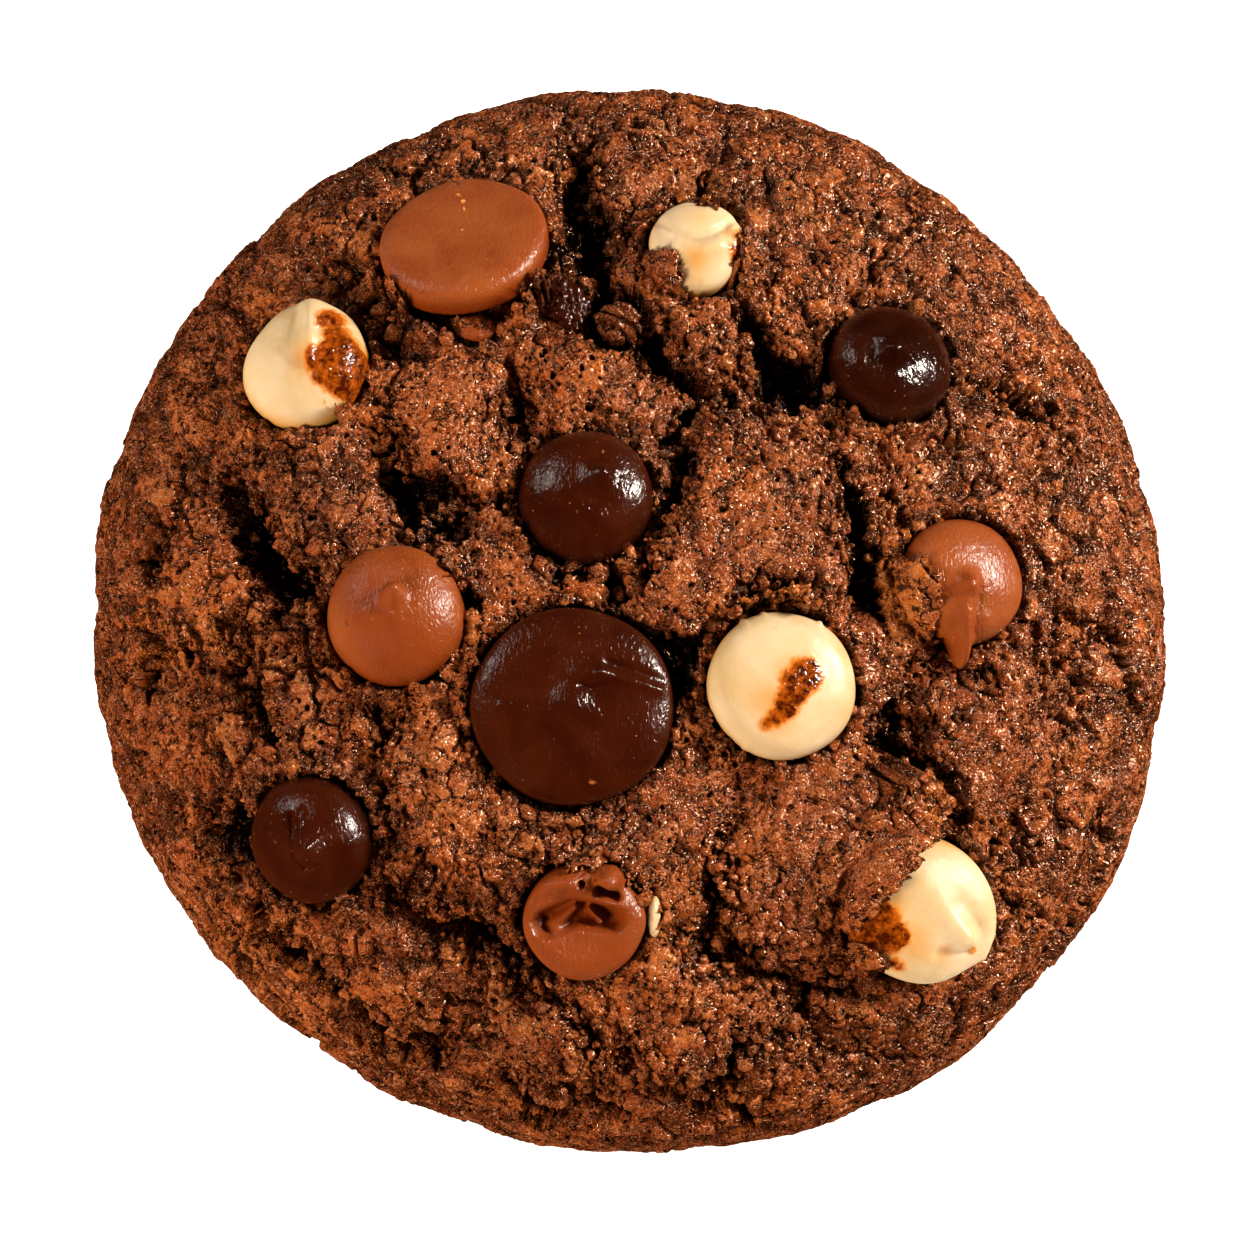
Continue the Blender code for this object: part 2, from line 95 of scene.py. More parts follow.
# Hollows where the crust tore away: place (x, y), radius and depth.
HOLLOWS = (
    ((-24.2, -0.4), 2.2, 1.5), ((-13.6, 4.8), 3.4, 1.4), ((3.2, -6.2), 2.6, 1.6),
    ((-28.4, -18.0), 3.2, 1.4), ((12.2, 14.2), 3.0, 1.5), ((2.6, 17.4), 2.0, 1.2),
    ((-3.4, 24.4), 2.4, 1.7), ((25.8, -7.4), 1.6, 1.2), ((19.4, -10.8), 2.4, 1.3),
    ((-6.8, -28.6), 2.4, 1.2), ((-16.6, 19.4), 2.8, 1.3), ((-0.9, 19.2), 3.0, 2.0),
    ((-6.4, 1.6), 1.0, 1.5), ((-4.2, -0.6), 1.1, 1.7), ((-0.8, -0.8), 1.3, 1.7), ((-11.0, -1.4), 1.0, 1.6),
)

# Fissures that stand out in the crust: half width, depth and the places they run through.
FISSURES = {
    "left_west": (0.55, 2.0, ((-29.1, 8.7), (-28.4, 6.5), (-27.1, 4.1), (-26.4, 2.0), (-25.2, 0.3),
                              (-22.6, -0.7))),
    "low_left_west": (0.4, 1.6, ((-25.9, -2.9), (-27.0, -3.9), (-27.8, -5.8), (-26.7, -7.9),
                                 (-25.2, -12.6))),
    "outer_left": (0.5, 1.3, ((-34.0, 6.1), (-33.6, 4.3), (-34.7, 1.2))),
    "left_east": (0.5, 1.9, ((-17.7, 11.0), (-16.8, 8.7), (-15.6, 4.2))),
    "arc_split": (0.3, 1.4, ((-8.1, 14.4), (-8.4, 12.3), (-8.6, 9.9))),
    "centre_west": (0.5, 1.6, ((3.6, 11.8), (3.9, 7.5), (1.6, 3.1), (1.1, -0.7))),
    "centre_south": (0.6, 1.8, ((4.1, -5.6), (6.7, -4.2), (9.4, -1.6), (12.0, -1.3), (13.8, -2.7))),
    "centre_east": (0.55, 2.0, ((15.2, 8.8), (16.7, 4.3), (16.9, 1.8), (17.3, -0.8), (19.2, -2.3),
                                (20.2, -5.6))),
    "top_down": (0.6, 1.9, ((-4.6, 35.8), (-3.4, 31.7), (-4.1, 28.7), (-2.5, 26.0), (-1.7, 20.5),
                            (-3.3, 18.2))),
    "arc_north": (0.45, 1.6, ((0.8, 17.0), (5.3, 14.1), (7.8, 12.8))),
    "strip_north": (0.6, 1.8, ((7.8, 20.6), (9.5, 17.3), (10.7, 14.9), (14.4, 13.2))),
    "right_up": (0.4, 1.4, ((27.4, 16.1), (27.7, 13.9), (30.1, 14.2), (31.8, 12.3), (34.1, 9.9))),
    "right_low": (0.35, 1.0, ((30.5, -5.8), (32.7, -6.1), (33.2, -8.0))),
    "south_left": (0.55, 1.8, ((-17.2, -22.9), (-14.9, -24.7), (-10.6, -25.4), (-6.4, -27.7))),
    "mid_west": (0.35, 1.2, ((-18.5, -8.0), (-17.6, -10.8), (-18.1, -12.7))),
    "chip_east": (0.4, 1.3, ((-17.9, -14.0), (-17.1, -17.9), (-17.1, -22.9))),
    "flank_low_left": (0.5, 1.3, ((-22.8, -27.3), (-20.8, -29.3), (-19.1, -31.2), (-14.2, -33.1),
                                  (-10.9, -32.5))),
    "sheet_west": (0.4, 1.4, ((6.1, -18.9), (6.3, -24.2), (5.6, -27.0), (9.4, -28.3), (13.5, -28.9))),
    "sheet_east": (0.45, 1.6, ((18.9, -20.9), (21.6, -19.5), (23.2, -17.2), (21.6, -13.6), (18.5, -11.9))),
    "bottom_a": (0.35, 1.2, ((-4.1, -30.2), (-2.6, -33.0), (-1.6, -34.7))),
    "bottom_b": (0.4, 1.3, ((-1.3, -33.3), (4.3, -35.8), (7.3, -35.7), (7.9, -33.1), (12.5, -31.7),
                            (14.5, -27.8))),
    "bottom_c": (0.35, 1.0, ((-6.7, -34.7), (-3.3, -36.0), (0.0, -37.5))),
}

# The chocolate's seats, which level the dough round each piece: place (x, y), radius,
# lean in degrees towards a heading, and height of the seat over the dome.
SEATS = {
    "milk_disc": ((-11.65, 24.5), 6.1, (16.0, 100.0), 0.7),
    "white_chip_left": ((-23.2, 15.9), 4.75, (4.0, 60.0), 0.1),
    "white_chip_top": ((5.0, 24.4), 3.55, (6.0, 250.0), 0.3),
    "dark_chip_right": ((19.0, 16.0), 4.5, (4.0, 100.0), 0.0),
    "dark_chip_middle": ((-3.0, 5.8), 4.8, (4.0, 60.0), -0.3),
    "milk_chip_left": ((-16.5, -2.8), 5.0, (4.0, 90.0), 0.2),
    "milk_chip_right": ((23.95, 0.0), 4.55, (4.0, 300.0), 0.1),
    "dark_disc": ((-3.9, -9.4), 7.2, (2.0, 90.0), -0.2),
    "white_chip_middle": ((11.0, -7.9), 5.3, (3.0, 250.0), 0.2),
    "dark_chip_low_left": ((-22.6, -18.4), 4.6, (3.0, 200.0), 0.0),
    "milk_chip_melted": ((-3.15, -24.45), 4.2, (3.0, 270.0), 0.1),
    "white_chip_low_right": ((20.6, -23.2), 5.25, (6.0, 300.0), 0.3),
    "milk_bit": ((-10.9, 18.3), 1.5, (0.0, 0.0), 0.5),
    "white_bit": ((1.95, -24.2), 0.5, (0.0, 0.0), 0.1),
    "dark_chunk_top": ((-4.4, 20.4), 1.5, (0.0, 0.0), -0.3),
    "striped_crumb": ((-0.6, 18.9), 1.4, (0.0, 0.0), -0.2),
}

# Crust that laps over a piece: the piece's rise, then each lap's path in its seat, half width
# and thickness.
LAPS = {
    "milk_disc": (1.7, (((-5.0, -3.2), (-4.6, -4.1)), 0.4, 0.4), (((4.6, -4.9), (5.8, -3.2)), 0.5, 0.3)),
    "white_chip_left": (3.4, (((2.2, -4.9), (3.9, -3.6)), 0.35, 0.3)),
    "white_chip_top": (2.2, (((-2.9, -1.8), (-2.2, -3.3)), 1.1, 0.5), (((3.7, 0.8), (3.3, -1.4)), 0.6, 0.5),
                       (((0.5, 2.8), (1.0, 2.5)), 0.4, 0.3)),
    "milk_chip_left": (3.5, (((3.6, 4.1), (4.3, 3.2)), 0.55, 0.6)),
    "milk_chip_right": (3.3, (((-4.5, 0.0), (-4.0, -1.6), (-3.8, -4.1)), 1.65, 0.35)),
    "milk_chip_melted": (1.9, (((-0.5, 4.1), (0.7, 4.0)), 0.8, 0.4), (((3.5, 3.5), (4.3, 2.2)), 0.5, 0.3)),
    "white_chip_low_right": (3.2, (((-5.8, 0.3), (-4.2, 3.2), (-1.3, 5.6), (0.1, 6.9)), 2.05, 0.5),
                             (((-4.0, -2.8), (-2.8, -3.9)), 0.7, 0.2)),
    "white_chip_middle": (2.9, (((-2.9, 5.6), (0.0, 6.5), (2.6, 6.1)), 0.4, 1.7)),
    "milk_bit": (0.8, (((-1.6, 0.2), (0.6, -0.4)), 0.5, 0.25)),
    "white_bit": (0.7, (((0.6, 0.8), (0.6, -1.1)), 0.35, 0.25)),
}

# Places where the crust stayed moist and glossy, in soft folds: place (x, y) and reach.
MOIST = (((13.8, -20.6), 8.5), ((13.0, 1.5), 5.5), ((2.5, 12.6), 3.0), ((26.0, -11.6), 5.0))
FOLD_HEADING = 62.0

# Sizes of the crust's fine features: soft lumps, crinkles, flakes, small plates, pits and pores.
LUMP_SIZE = 2.0
CRINKLE_SIZE = 0.75
FLAKE_SIZE = 2.0
SMALL_PLATE_SIZE = 3.4
PIT_SIZE = 1.1
PORE_SIZE = 0.6

# Sizes of the crumbs in the open crumb, and of the grit on everything.
CRUMB_SIZE = 1.3
SMALL_CRUMB_SIZE = 0.62
GRIT_SIZE = 0.32

# Seats wider than this are a chip's or a disc's, with a bank of crust and a gap round it darkened by painted
# shade.
BANKED_SEAT = 2.0


def ease(low, high, value):
    """A smooth step from 0 at low to 1 at high."""
    share = np.clip((value - low) / (high - low), 0.0, 1.0)
    return share * share * (3.0 - 2.0 * share)


def gradient_noise(points, size, seed):
    """Smooth noise of about -1 to 1 at each point, with bumps of about that size."""
    draw = np.random.default_rng(seed)
    order = draw.permutation(256)
    slopes = draw.normal(size=(256, 3))
    slopes /= np.linalg.norm(slopes, axis=1)[:, None]
    scaled = points / size
    cell = np.floor(scaled).astype(int)
    part = scaled - cell
    fade = part ** 3 * (part * (part * 6.0 - 15.0) + 10.0)
    total = np.zeros(len(points))
    for corner in itertools.product((0, 1), repeat=3):
        key = order[(cell[:, 0] + corner[0]) % 256]
        key = order[(key + cell[:, 1] + corner[1]) % 256]
        key = order[(key + cell[:, 2] + corner[2]) % 256]
        share = np.prod(np.where(np.array(corner) == 1, fade, 1.0 - fade), axis=1)
        total += share * np.sum(slopes[key] * (part - corner), axis=1)
    return total * 1.6


def wander(points, size, shift, seed):
    """Each point's shift by three noises, for edges that wander."""
    return shift * np.stack([gradient_noise(points, size, seed + axis) for axis in range(3)], axis=1)


def grains(points, size, seed):
    """Each point's nearest grain: distances to its middle and to the next one's, in grains, its chance
    and the way to its middle."""
    draw = np.random.default_rng(seed)
    order = draw.permutation(256)
    middles = draw.uniform(0.1, 0.9, size=(256, 3))
    chances = draw.uniform(size=256)
    scaled = points / size
    cell = np.floor(scaled).astype(int)
    first = np.full(len(points), 9.0)
    second = np.full(len(points), 9.0)
    chance = np.zeros(len(points))
    inward = np.zeros_like(points)
    for step in itertools.product((-1, 0, 1), repeat=3):
        near = cell + np.array(step)
        key = order[near[:, 0] % 256]
        key = order[(key + near[:, 1]) % 256]
        key = order[(key + near[:, 2]) % 256]
        way = near + middles[key] - scaled
        away = np.sqrt(np.einsum("ij,ij->i", way, way))
        closer = away < first
        second = np.where(closer, first, np.minimum(second, away))
        chance = np.where(closer, chances[key], chance)
        inward = np.where(closer[:, None], way, inward)
        first = np.where(closer, away, first)
    return first, second, chance, inward * size


def plan_factor(heading):
    """The plan's radius at a heading, as a share of the circle's."""
    factor = np.ones_like(heading)
    for waves, share, bulge in PLAN_WAVES:
        factor = factor + share * np.cos(waves * (heading - math.radians(bulge)))
    return factor


def profile():
    """The dough's half section from the top of the dome to the middle of the base, as (radius, height)."""
    crown = np.linspace(0.0, math.pi / 2, 400)
    radius = DOME_RADIUS * np.sin(crown) ** (2 / DOME_POWER)
    height = WAIST_HEIGHT + (DOME_TOP - WAIST_HEIGHT) * np.cos(crown) ** (2 / DOME_POWER)
    tuck = np.linspace(0.0, math.pi / 2, 120)[1:]
    radius = np.append(radius, BASE_RADIUS + (DOME_RADIUS - BASE_RADIUS) * np.cos(tuck))
    height = np.append(height, WAIST_HEIGHT * (1.0 - np.sin(tuck)))
    base = np.linspace(BASE_RADIUS, 0.0, 40)[1:]
    return np.append(radius, base), np.append(height, np.zeros_like(base))


SECTION_RADIUS, SECTION_HEIGHT = profile()
SECTION_RUN = np.append(0.0, np.cumsum(np.hypot(np.diff(SECTION_RADIUS), np.diff(SECTION_HEIGHT))))


def dome_surface(run, heading):
    """Places on the smooth dome at a run down its section and a heading, and the outward normals."""
    radius = np.interp(run, SECTION_RUN, SECTION_RADIUS) * plan_factor(heading)
    height = np.interp(run, SECTION_RUN, SECTION_HEIGHT)
    points = np.stack([radius * np.cos(heading), radius * np.sin(heading), height], axis=1)
    out = -np.interp(run, SECTION_RUN, np.gradient(SECTION_HEIGHT, SECTION_RUN))
    rise = np.interp(run, SECTION_RUN, np.gradient(SECTION_RADIUS, SECTION_RUN))
    normals = np.stack([out * np.cos(heading), out * np.sin(heading), rise], axis=1)
    return points, normals / np.linalg.norm(normals, axis=1)[:, None]


def dome_point(x, y):
    """The smooth dome's height at a place seen from above, and its normal there."""
    radius = math.hypot(x, y) / float(plan_factor(np.array(math.atan2(y, x))))
    share = min(radius / DOME_RADIUS, 0.999)
    crown = DOME_TOP - WAIST_HEIGHT
    height = WAIST_HEIGHT + crown * (1.0 - share ** DOME_POWER) ** (1.0 / DOME_POWER)
    steepness = (share * DOME_RADIUS / (height - WAIST_HEIGHT)) ** (DOME_POWER - 1.0)
    slope = (crown / DOME_RADIUS) ** DOME_POWER * steepness
    spread = max(math.hypot(x, y), 1e-6)
    return Vector((x, y, height)), Vector((slope * x / spread, slope * y / spread, 1.0)).normalized()


def flank_point(heading, height):
    """A place on the flank at a heading and height."""
    share = (height - WAIST_HEIGHT) / (DOME_TOP - WAIST_HEIGHT)
    if share >= 0.0:
        radius = DOME_RADIUS * (1.0 - share ** DOME_POWER) ** (1.0 / DOME_POWER)
    else:
        tuck = math.sqrt(1.0 - (1.0 - height / WAIST_HEIGHT) ** 2)
        radius = BASE_RADIUS + (DOME_RADIUS - BASE_RADIUS) * tuck
    radius *= float(plan_factor(np.array(heading)))
    return Vector((radius * math.cos(heading), radius * math.sin(heading), height))


def plate_table():
    """Every plate's middle, reach, swell, lift and lean: the crown's by place, the flank's by rings."""
    middles = [dome_point(*place)[0] for place, _, _ in PLATES.values()]
    reaches = [reach for _, reach, _ in PLATES.values()]
    swells = [swell for _, _, swell in PLATES.values()]
    draw = np.random.default_rng(FLANK_SEED)
    for height, count, reach, swell in FLANK_RINGS:
        for step in range(count):
            heading = math.tau * (step + draw.uniform(-0.25, 0.25)) / count
            middles.append(flank_point(heading, height + draw.uniform(-1.2, 1.2)))
            reaches.append(reach * draw.uniform(0.8, 1.2))
            swells.append(swell * draw.uniform(0.6, 1.3))
    lifts = draw.uniform(-PLATE_LIFT, PLATE_LIFT, len(middles))
    leans = draw.uniform(-PLATE_LEAN, PLATE_LEAN, (len(middles), 3))
    return np.array(middles), np.array(reaches), np.array(swells), lifts, leans


def nearest_plates(points):
    """How far each point lies inside its plate, that plate's swell, and its step over its neighbours."""
    middles, reaches, swells, lifts, leans = plate_table()
    stretch = np.ones_like(points)
    stretch[:, 2] += 0.7 * ease(24.0, 12.0, points[:, 2])
    inside = np.empty(len(points))
    plate = np.empty(len(points), int)
    for start in range(0, len(points), 20000):
        rows = slice(start, start + 20000)
        gaps = (points[rows, None, :] - middles[None]) * stretch[rows, None, :]
        away = np.linalg.norm(gaps, axis=2) - reaches
        nearest = np.argpartition(away, 1, axis=1)[:, :2]
        pair = np.take_along_axis(away, nearest, axis=1)
        low = np.argmin(pair, axis=1)
        inside[rows] = 0.5 * np.abs(pair[:, 1] - pair[:, 0])
        plate[rows] = nearest[np.arange(len(low)), low]
    step = lifts[plate] + np.sum((points - middles[plate]) * leans[plate], axis=1)
    return inside, swells[plate], step


def path_distance(points, stops):
    """Each point's distance to a path, and how far along the path its nearest place is, 0 to 1."""
    stops = np.asarray(stops, float)
    steps = np.diff(stops, axis=0)
    lengths = np.linalg.norm(steps, axis=1)
    best = np.full(len(points), 99.0)
    share = np.zeros(len(points))
    done = 0.0
    for start, step, length in zip(stops, steps / lengths[:, None], lengths):
        run = np.clip((points - start) @ step, 0.0, length)
        away = np.linalg.norm(points - start - run[:, None] * step, axis=1)
        share = np.where(away < best, (done + run) / lengths.sum(), share)
        best = np.minimum(best, away)
        done += length
    return best, share


def seat_frame(name):
    """A chocolate piece's frame: its middle on the dough, with Z out of the dome."""
    place, _, (tilt, heading), height = SEATS[name]
    point, normal = dome_point(*place)
    lean = Vector((math.cos(math.radians(heading)), math.sin(math.radians(heading)), 0.0))
    axis = (normal + math.tan(math.radians(tilt)) * lean).normalized()
    turn = Vector((0.0, 0.0, 1.0)).rotation_difference(axis).to_matrix().to_4x4()
    return Matrix.Translation(point + height * normal) @ turn


def gap_wall(away, half_width, softness=0.13):
    """1 inside a gap of that half width and 0 on the crust beside it, with a steep torn wall between."""
    return 1.0 - ease(half_width - softness, half_width + softness, away)


def crust_relief(points, grit):
    """Fine relief of the dry crust: thin ragged flakes on soft lumps, hairline cracks, pits and pores."""
    warped = points + wander(points, 0.9, 0.30, 95) + wander(points, 0.35, 0.10, 75)
    height = 0.30 * gradient_noise(warped, LUMP_SIZE, 93)
    height += 0.24 * np.abs(gradient_noise(warped, CRINKLE_SIZE, 94)) - 0.08
    height += 0.10 * (0.5 - grit)
    first, second, chance, way = grains(warped, FLAKE_SIZE, 96)
    lean = way[:, 0] * np.cos(math.tau * chance) + way[:, 1] * np.sin(math.tau * chance)
    scaly = ease(-0.2, 0.5, gradient_noise(points, 5.0, 92))
    height += (0.34 * (chance - 0.5) + 0.20 * lean - 0.3 * np.exp(-((second - first) / 0.07) ** 2)) * scaly
    torn = points + wander(points, 1.6, 0.6, 85) + 0.6 * (warped - points)
    first, second, chance, _ = grains(torn, SMALL_PLATE_SIZE, 99)
    outer = ease(15.0, 26.0, np.hypot(points[:, 0], points[:, 1]))
    crackled = ease(-0.35, 0.3, gradient_noise(points, 5.0, 97)) * (0.15 + 0.85 * outer)
    crack = np.exp(-((second - first) / (0.03 + 0.05 * chance)) ** 2) * crackled
    height += 0.42 * (chance - 0.5) * crackled - 0.7 * crack
    first, _, chance, _ = grains(warped, PIT_SIZE, 98)
    pitted = 0.35 + 0.5 * ease(0.3, -0.4, gradient_noise(points, 3.6, 91))
    pits = (1.0 - ease(0.14, 0.24, first)) * (chance > pitted)
    first, _, chance, _ = grains(points, PORE_SIZE, 90)
    pores = (1.0 - ease(0.14, 0.32, first)) * (chance > 0.55)
    # The second value marks pits, pores and cracks for painted shade.
    return height - 0.55 * pits - 0.2 * pores, np.maximum(np.maximum(pits, 0.5 * pores), 0.6 * crack)


def crumbs(points):
    """Crumbs of three sizes: lumpy height, how sunk each lies, the way to its middle, and the grit."""
    loose = points + wander(points, 1.2, 0.45, 61) + wander(points, 0.45, 0.2, 65)
    big, _, big_chance, big_way = grains(loose, CRUMB_SIZE, 62)
    small, _, small_chance, small_way = grains(points + wander(points, 0.4, 0.12, 67), SMALL_CRUMB_SIZE, 63)
    grit, _, _, _ = grains(points, GRIT_SIZE, 64)
    lumps = 0.9 * (0.5 - big) + 0.65 * (0.45 - small) + 0.25 * (0.5 - grit)
    lumps += 0.35 * gradient_noise(loose, 0.9, 66)
    return lumps, 0.65 * big_chance + 0.35 * small_chance, 0.6 * big_way + 0.6 * small_way, grit


def moist_folds(points):
    """How moist the crust is, 0 to 1, and the soft folds that it has there."""
    moist = np.zeros(len(points))
    for place, reach in MOIST:
        away = np.linalg.norm(points - np.array(dome_point(*place)[0]), axis=1)
        moist = np.maximum(moist, np.exp(-(away / reach) ** 4))
    turn = math.radians(FOLD_HEADING)
    along = points[:, 0] * math.cos(turn) + points[:, 1] * math.sin(turn)
    across = points[:, 1] * math.cos(turn) - points[:, 0] * math.sin(turn)
    swayed = np.stack([along / 2.6, across / 1.25, points[:, 2] / 2.6], axis=1)
    swayed += wander(swayed, 1.5, 0.35, 57)
    folds = 0.55 * np.abs(gradient_noise(swayed, 1.0, 53)) + 0.3 * gradient_noise(swayed, 0.45, 54) - 0.2
    return moist, folds


def plate_relief(points, moved, flank, rubble):
    """The plates' swell, and the gaps between them by name: depth, crumb, torn edge, sunk and covered."""
    inside, swell, step = nearest_plates(moved)
    gape = ease(-0.15, 0.6, gradient_noise(points, 9.0, 41)) * (1.0 + 0.1 * flank)
    seam = 0.10 + 0.5 * gape
    close = gap_wall(inside, seam, 0.1)
    relief = 1.6 * swell * (1.0 - np.exp(-inside / 2.4)) - 0.5 * swell + step * (1.0 - 0.5 * flank)
    relief += 0.5 * gradient_noise(points, 13.0, 51) + 0.3 * gradient_noise(points, 4.5, 52)
    return relief, {
        "depth": close * (0.3 + 1.4 * gape) * rubble,
        "crumb": close * ease(0.1, 0.5, gape),
        "edge": np.exp(-np.maximum(inside - seam, 0.0) / 0.35) * gape,
        "sunk": np.zeros(len(points)),
        "covered": np.zeros(len(points)),
    }


def open_fissures(gaps, cracked, rubble):
    """Opens the fissures: each a gap with steep walls, between banks of sunk crumb."""
    for half_width, deep, places in FISSURES.values():
        away, along = path_distance(cracked, [dome_point(*place)[0] for place in places])
        middle = np.sin(math.pi * np.clip(along, 0.03, 0.97)) ** 0.5
        width = half_width * (0.4 + 0.9 * middle)
        bank = 1.0 - ease(width, width + 0.3 + 1.3 * middle, away)
        cut = np.maximum(gap_wall(away, width, 0.12), 0.6 * bank * rubble)
        rim = np.exp(-np.maximum(away - width - 0.8 * middle, 0.0) / 0.4) * middle
        gaps["depth"] = np.maximum(gaps["depth"], deep * (0.5 + 0.9 * middle) * cut)
        gaps["crumb"] = np.maximum(gaps["crumb"], ease(0.15, 0.45, bank))
        gaps["edge"] = np.maximum(gaps["edge"], rim)


def sink_hollows(gaps, ragged, rubble):
    """Sinks the hollows, with crumb on their floors."""
    for place, radius, deep in HOLLOWS:
        away = np.linalg.norm(ragged - np.array(dome_point(*place)[0]), axis=1)
        share = 1.0 - ease(0.6 * radius, 1.1 * radius, away)
        gaps["sunk"] = np.maximum(gaps["sunk"], deep * share * (0.5 + 0.6 * rubble))
        gaps["crumb"] = np.maximum(gaps["crumb"], ease(0.0, 0.3, share))


def seat_chocolate(relief, gaps, points, normals, cracked):
    """Levels the dough under each piece of chocolate, digs the gap round it and lays crust over its rim."""
    depth, crumb, edge, sunk, covered = (gaps[key] for key in ("depth", "crumb", "edge", "sunk", "covered"))
    patchy = gradient_noise(points, 3.2, 43)
    laps = []
    for name, (_, radius, _, _) in SEATS.items():
        seat = np.array(seat_frame(name))
        local = (points - seat[:3, 3]) @ seat[:3, :3]
        aside = np.hypot(local[:, 0], local[:, 1])
        rows = np.flatnonzero((np.abs(local[:, 2]) < radius + 1.5) & (aside < radius + 4.5))
        local, aside, facing = local[rows], aside[rows], np.maximum(normals[rows] @ seat[:3, 2], 0.3)
        near = 1.0 - ease(radius + 0.3, radius + 2.2, aside)
        level = -local[:, 2] / facing
        banked = patchy[rows]
        moat = radius + 0.05
        deep = 0.9
        if radius > BANKED_SEAT:
            level += (0.3 + 0.7 * banked) * np.exp(-(((aside - radius - 0.9) / 0.8) ** 2))
            moat = radius + (0.12 + 0.35 * np.maximum(banked, 0.0))
            deep = 1.6
        ragged = (cracked[rows] - seat[:3, 3]) @ seat[:3, :3]
        gap = aside + 0.6 * (np.hypot(ragged[:, 0], ragged[:, 1]) - aside)
        wall = gap_wall(gap, np.maximum(moat, radius - 0.1), 0.15)
        relief[rows] = relief[rows] * (1.0 - near) + level * near
        depth[rows] = np.maximum(depth[rows] * (1.0 - 0.6 * near), deep * wall)
        crumb[rows] = np.maximum(crumb[rows], 1.0 - ease(moat + 0.3, moat + 1.1 + 0.5 * banked, gap))
        covered[rows] = np.maximum(covered[rows], 1.0 - ease(radius - 0.9, radius - 0.4, aside))
        rise, *patches = LAPS.get(name, (0.0,))
        crown = rise * np.maximum(1.0 - (aside / (radius + 0.5)) ** 2.4, 0.0) ** 0.42
        for path, half_width, thick in patches:
            away, _ = path_distance(ragged[:, :2], path)
            laps.append((rows, gap_wall(away, half_width, 0.12), (crown + thick - local[:, 2]) / facing,
                         np.exp(-np.maximum(half_width - away, 0.0) / 0.35)))
    for rows, share, height, rim in laps:
        relief[rows] += share * np.maximum(height - relief[rows], 0.0)
        for values in (depth, sunk, covered):
            values[rows] *= 1.0 - share
        crumb[rows] *= 1.0 - 0.8 * share
        edge[rows] = np.maximum(edge[rows], share * rim)


def dough_relief(points, normals):
    """The dough's height over the smooth dome, and its masks by name."""
    moved = points + wander(points, 6.0, 1.3, 21) + wander(points, 2.4, 0.5, 31)
    lumps, sinking, torn, grit = crumbs(points)
    cracked = points + wander(points, 2.4, 0.3, 31) + torn
    flank = 1.0 - ease(14.0, 21.0, points[:, 2])
    rubble = 0.45 + 0.9 * sinking

    relief, gaps = plate_relief(points, moved + torn, flank, rubble)
    open_fissures(gaps, cracked, rubble)
    sink_hollows(gaps, cracked + 0.6 * (moved - points), rubble)
    seat_chocolate(relief, gaps, points, normals, cracked)

    foot = ease(0.0, 4.0, points[:, 2])
    waist = np.exp(-(((points[:, 2] - WAIST_HEIGHT) / 4.0) ** 2))
    crust, pits = crust_relief(points, grit)
    moist, folds = moist_folds(points)
    crust = crust * (1.0 - 0.5 * moist) + folds * moist
    heading = np.arctan2(points[:, 1], points[:, 0])
    height = points[:, 2] / 0.9 + 0.8 * gradient_noise(points, 4.0, 46)
    belt = np.stack([heading * 11.0, height, 0.0 * heading], axis=1)
    wrinkles = 0.6 * np.abs(gradient_noise(belt, 1.0, 47)) * flank
    open_crumb = np.clip(gaps["crumb"], 0.0, 1.0)
    crust = (crust * (1.0 - 0.45 * flank) - wrinkles) * (1.0 - open_crumb)
    loose = lumps * (1.0 - 0.5 * flank) * open_crumb
    bare = 1.0 - gaps["covered"]
    relief += (crust + loose) * (0.35 + 0.65 * foot) * bare - gaps["sunk"] - gaps["depth"]
    pits = pits * (1.0 - open_crumb) * (1.0 - 0.5 * moist)
    hidden = gaps["depth"] + gaps["sunk"] - 1.2 * open_crumb * lumps
    # deep is painted shade in gaps and pits, fine is the fine relief's height for painted light and shade,
    # edge is where a painted glow goes.
    masks = {
        "deep": np.maximum(ease(0.75, 1.8, hidden), 0.85 * pits),
        "crumb": open_crumb,
        "edge": np.clip(gaps["edge"], 0.0, 1.0) * (1.0 - 0.5 * open_crumb),
        "fine": np.clip(0.5 + 2.2 * crust * (1.0 - 0.6 * moist) + 1.2 * loose, 0.0, 1.0),
        "moist": moist * (1.0 - open_crumb),
    }
    return relief * ease(0.0, 1.2, points[:, 2]) * (0.2 + 0.8 * foot) * (1.0 - 0.35 * waist), masks


# Dough: its surface pieces
# The crust is one skin on the real cookie. Here it is closed shells that meet along wandering rings,
# so that each keeps fine relief: the heart, the rings round it, and the foot with the flat base.

HEART_RUN = 16.4
HEART_SIDE = 312
RINGS = {
    "dough_inner_ring": (16.4, 24.2, 1200, 78),
    "dough_middle_ring": (24.2, 30.8, 1480, 64),
    "dough_outer_ring": (30.8, 37.2, 1560, 60),
    "dough_flank_ring": (37.2, 46.0, 1400, 66),
}
FOOT_RUN = 46.0
FOOT_AROUND = 1100
FOOT_ACROSS = 72
BASE_ACROSS = 14
CORE = np.array([0.0, 0.0, 9.0])
CORE_SHARE = 0.74
LIP_RUN = 0.9
LIP_DROP = 0.5


def ring_run(run, heading):
    """A ring's run down the dome at each heading, wandering so that it follows no circle."""
    return run + 0.7 * np.sin(5.0 * heading + run) + 0.5 * np.sin(11.0 * heading + 2.0 * run)


def dough_points(run, heading, lip_from=None):
    """Relief points of the dough at a run and heading, in millimetres, with their masks.

    Past lip_from the surface dives under the next piece."""
    points, normals = dome_surface(run, heading)
    height, masks = dough_relief(points, normals)
    if lip_from is not None:
        height = height - LIP_DROP * ease(0.05, LIP_RUN, run - lip_from)
    return points + normals * height[:, None], masks


def drawn_in(points):
    """Places under the skin, drawn towards the cookie's middle."""
    return CORE + CORE_SHARE * (points - CORE)


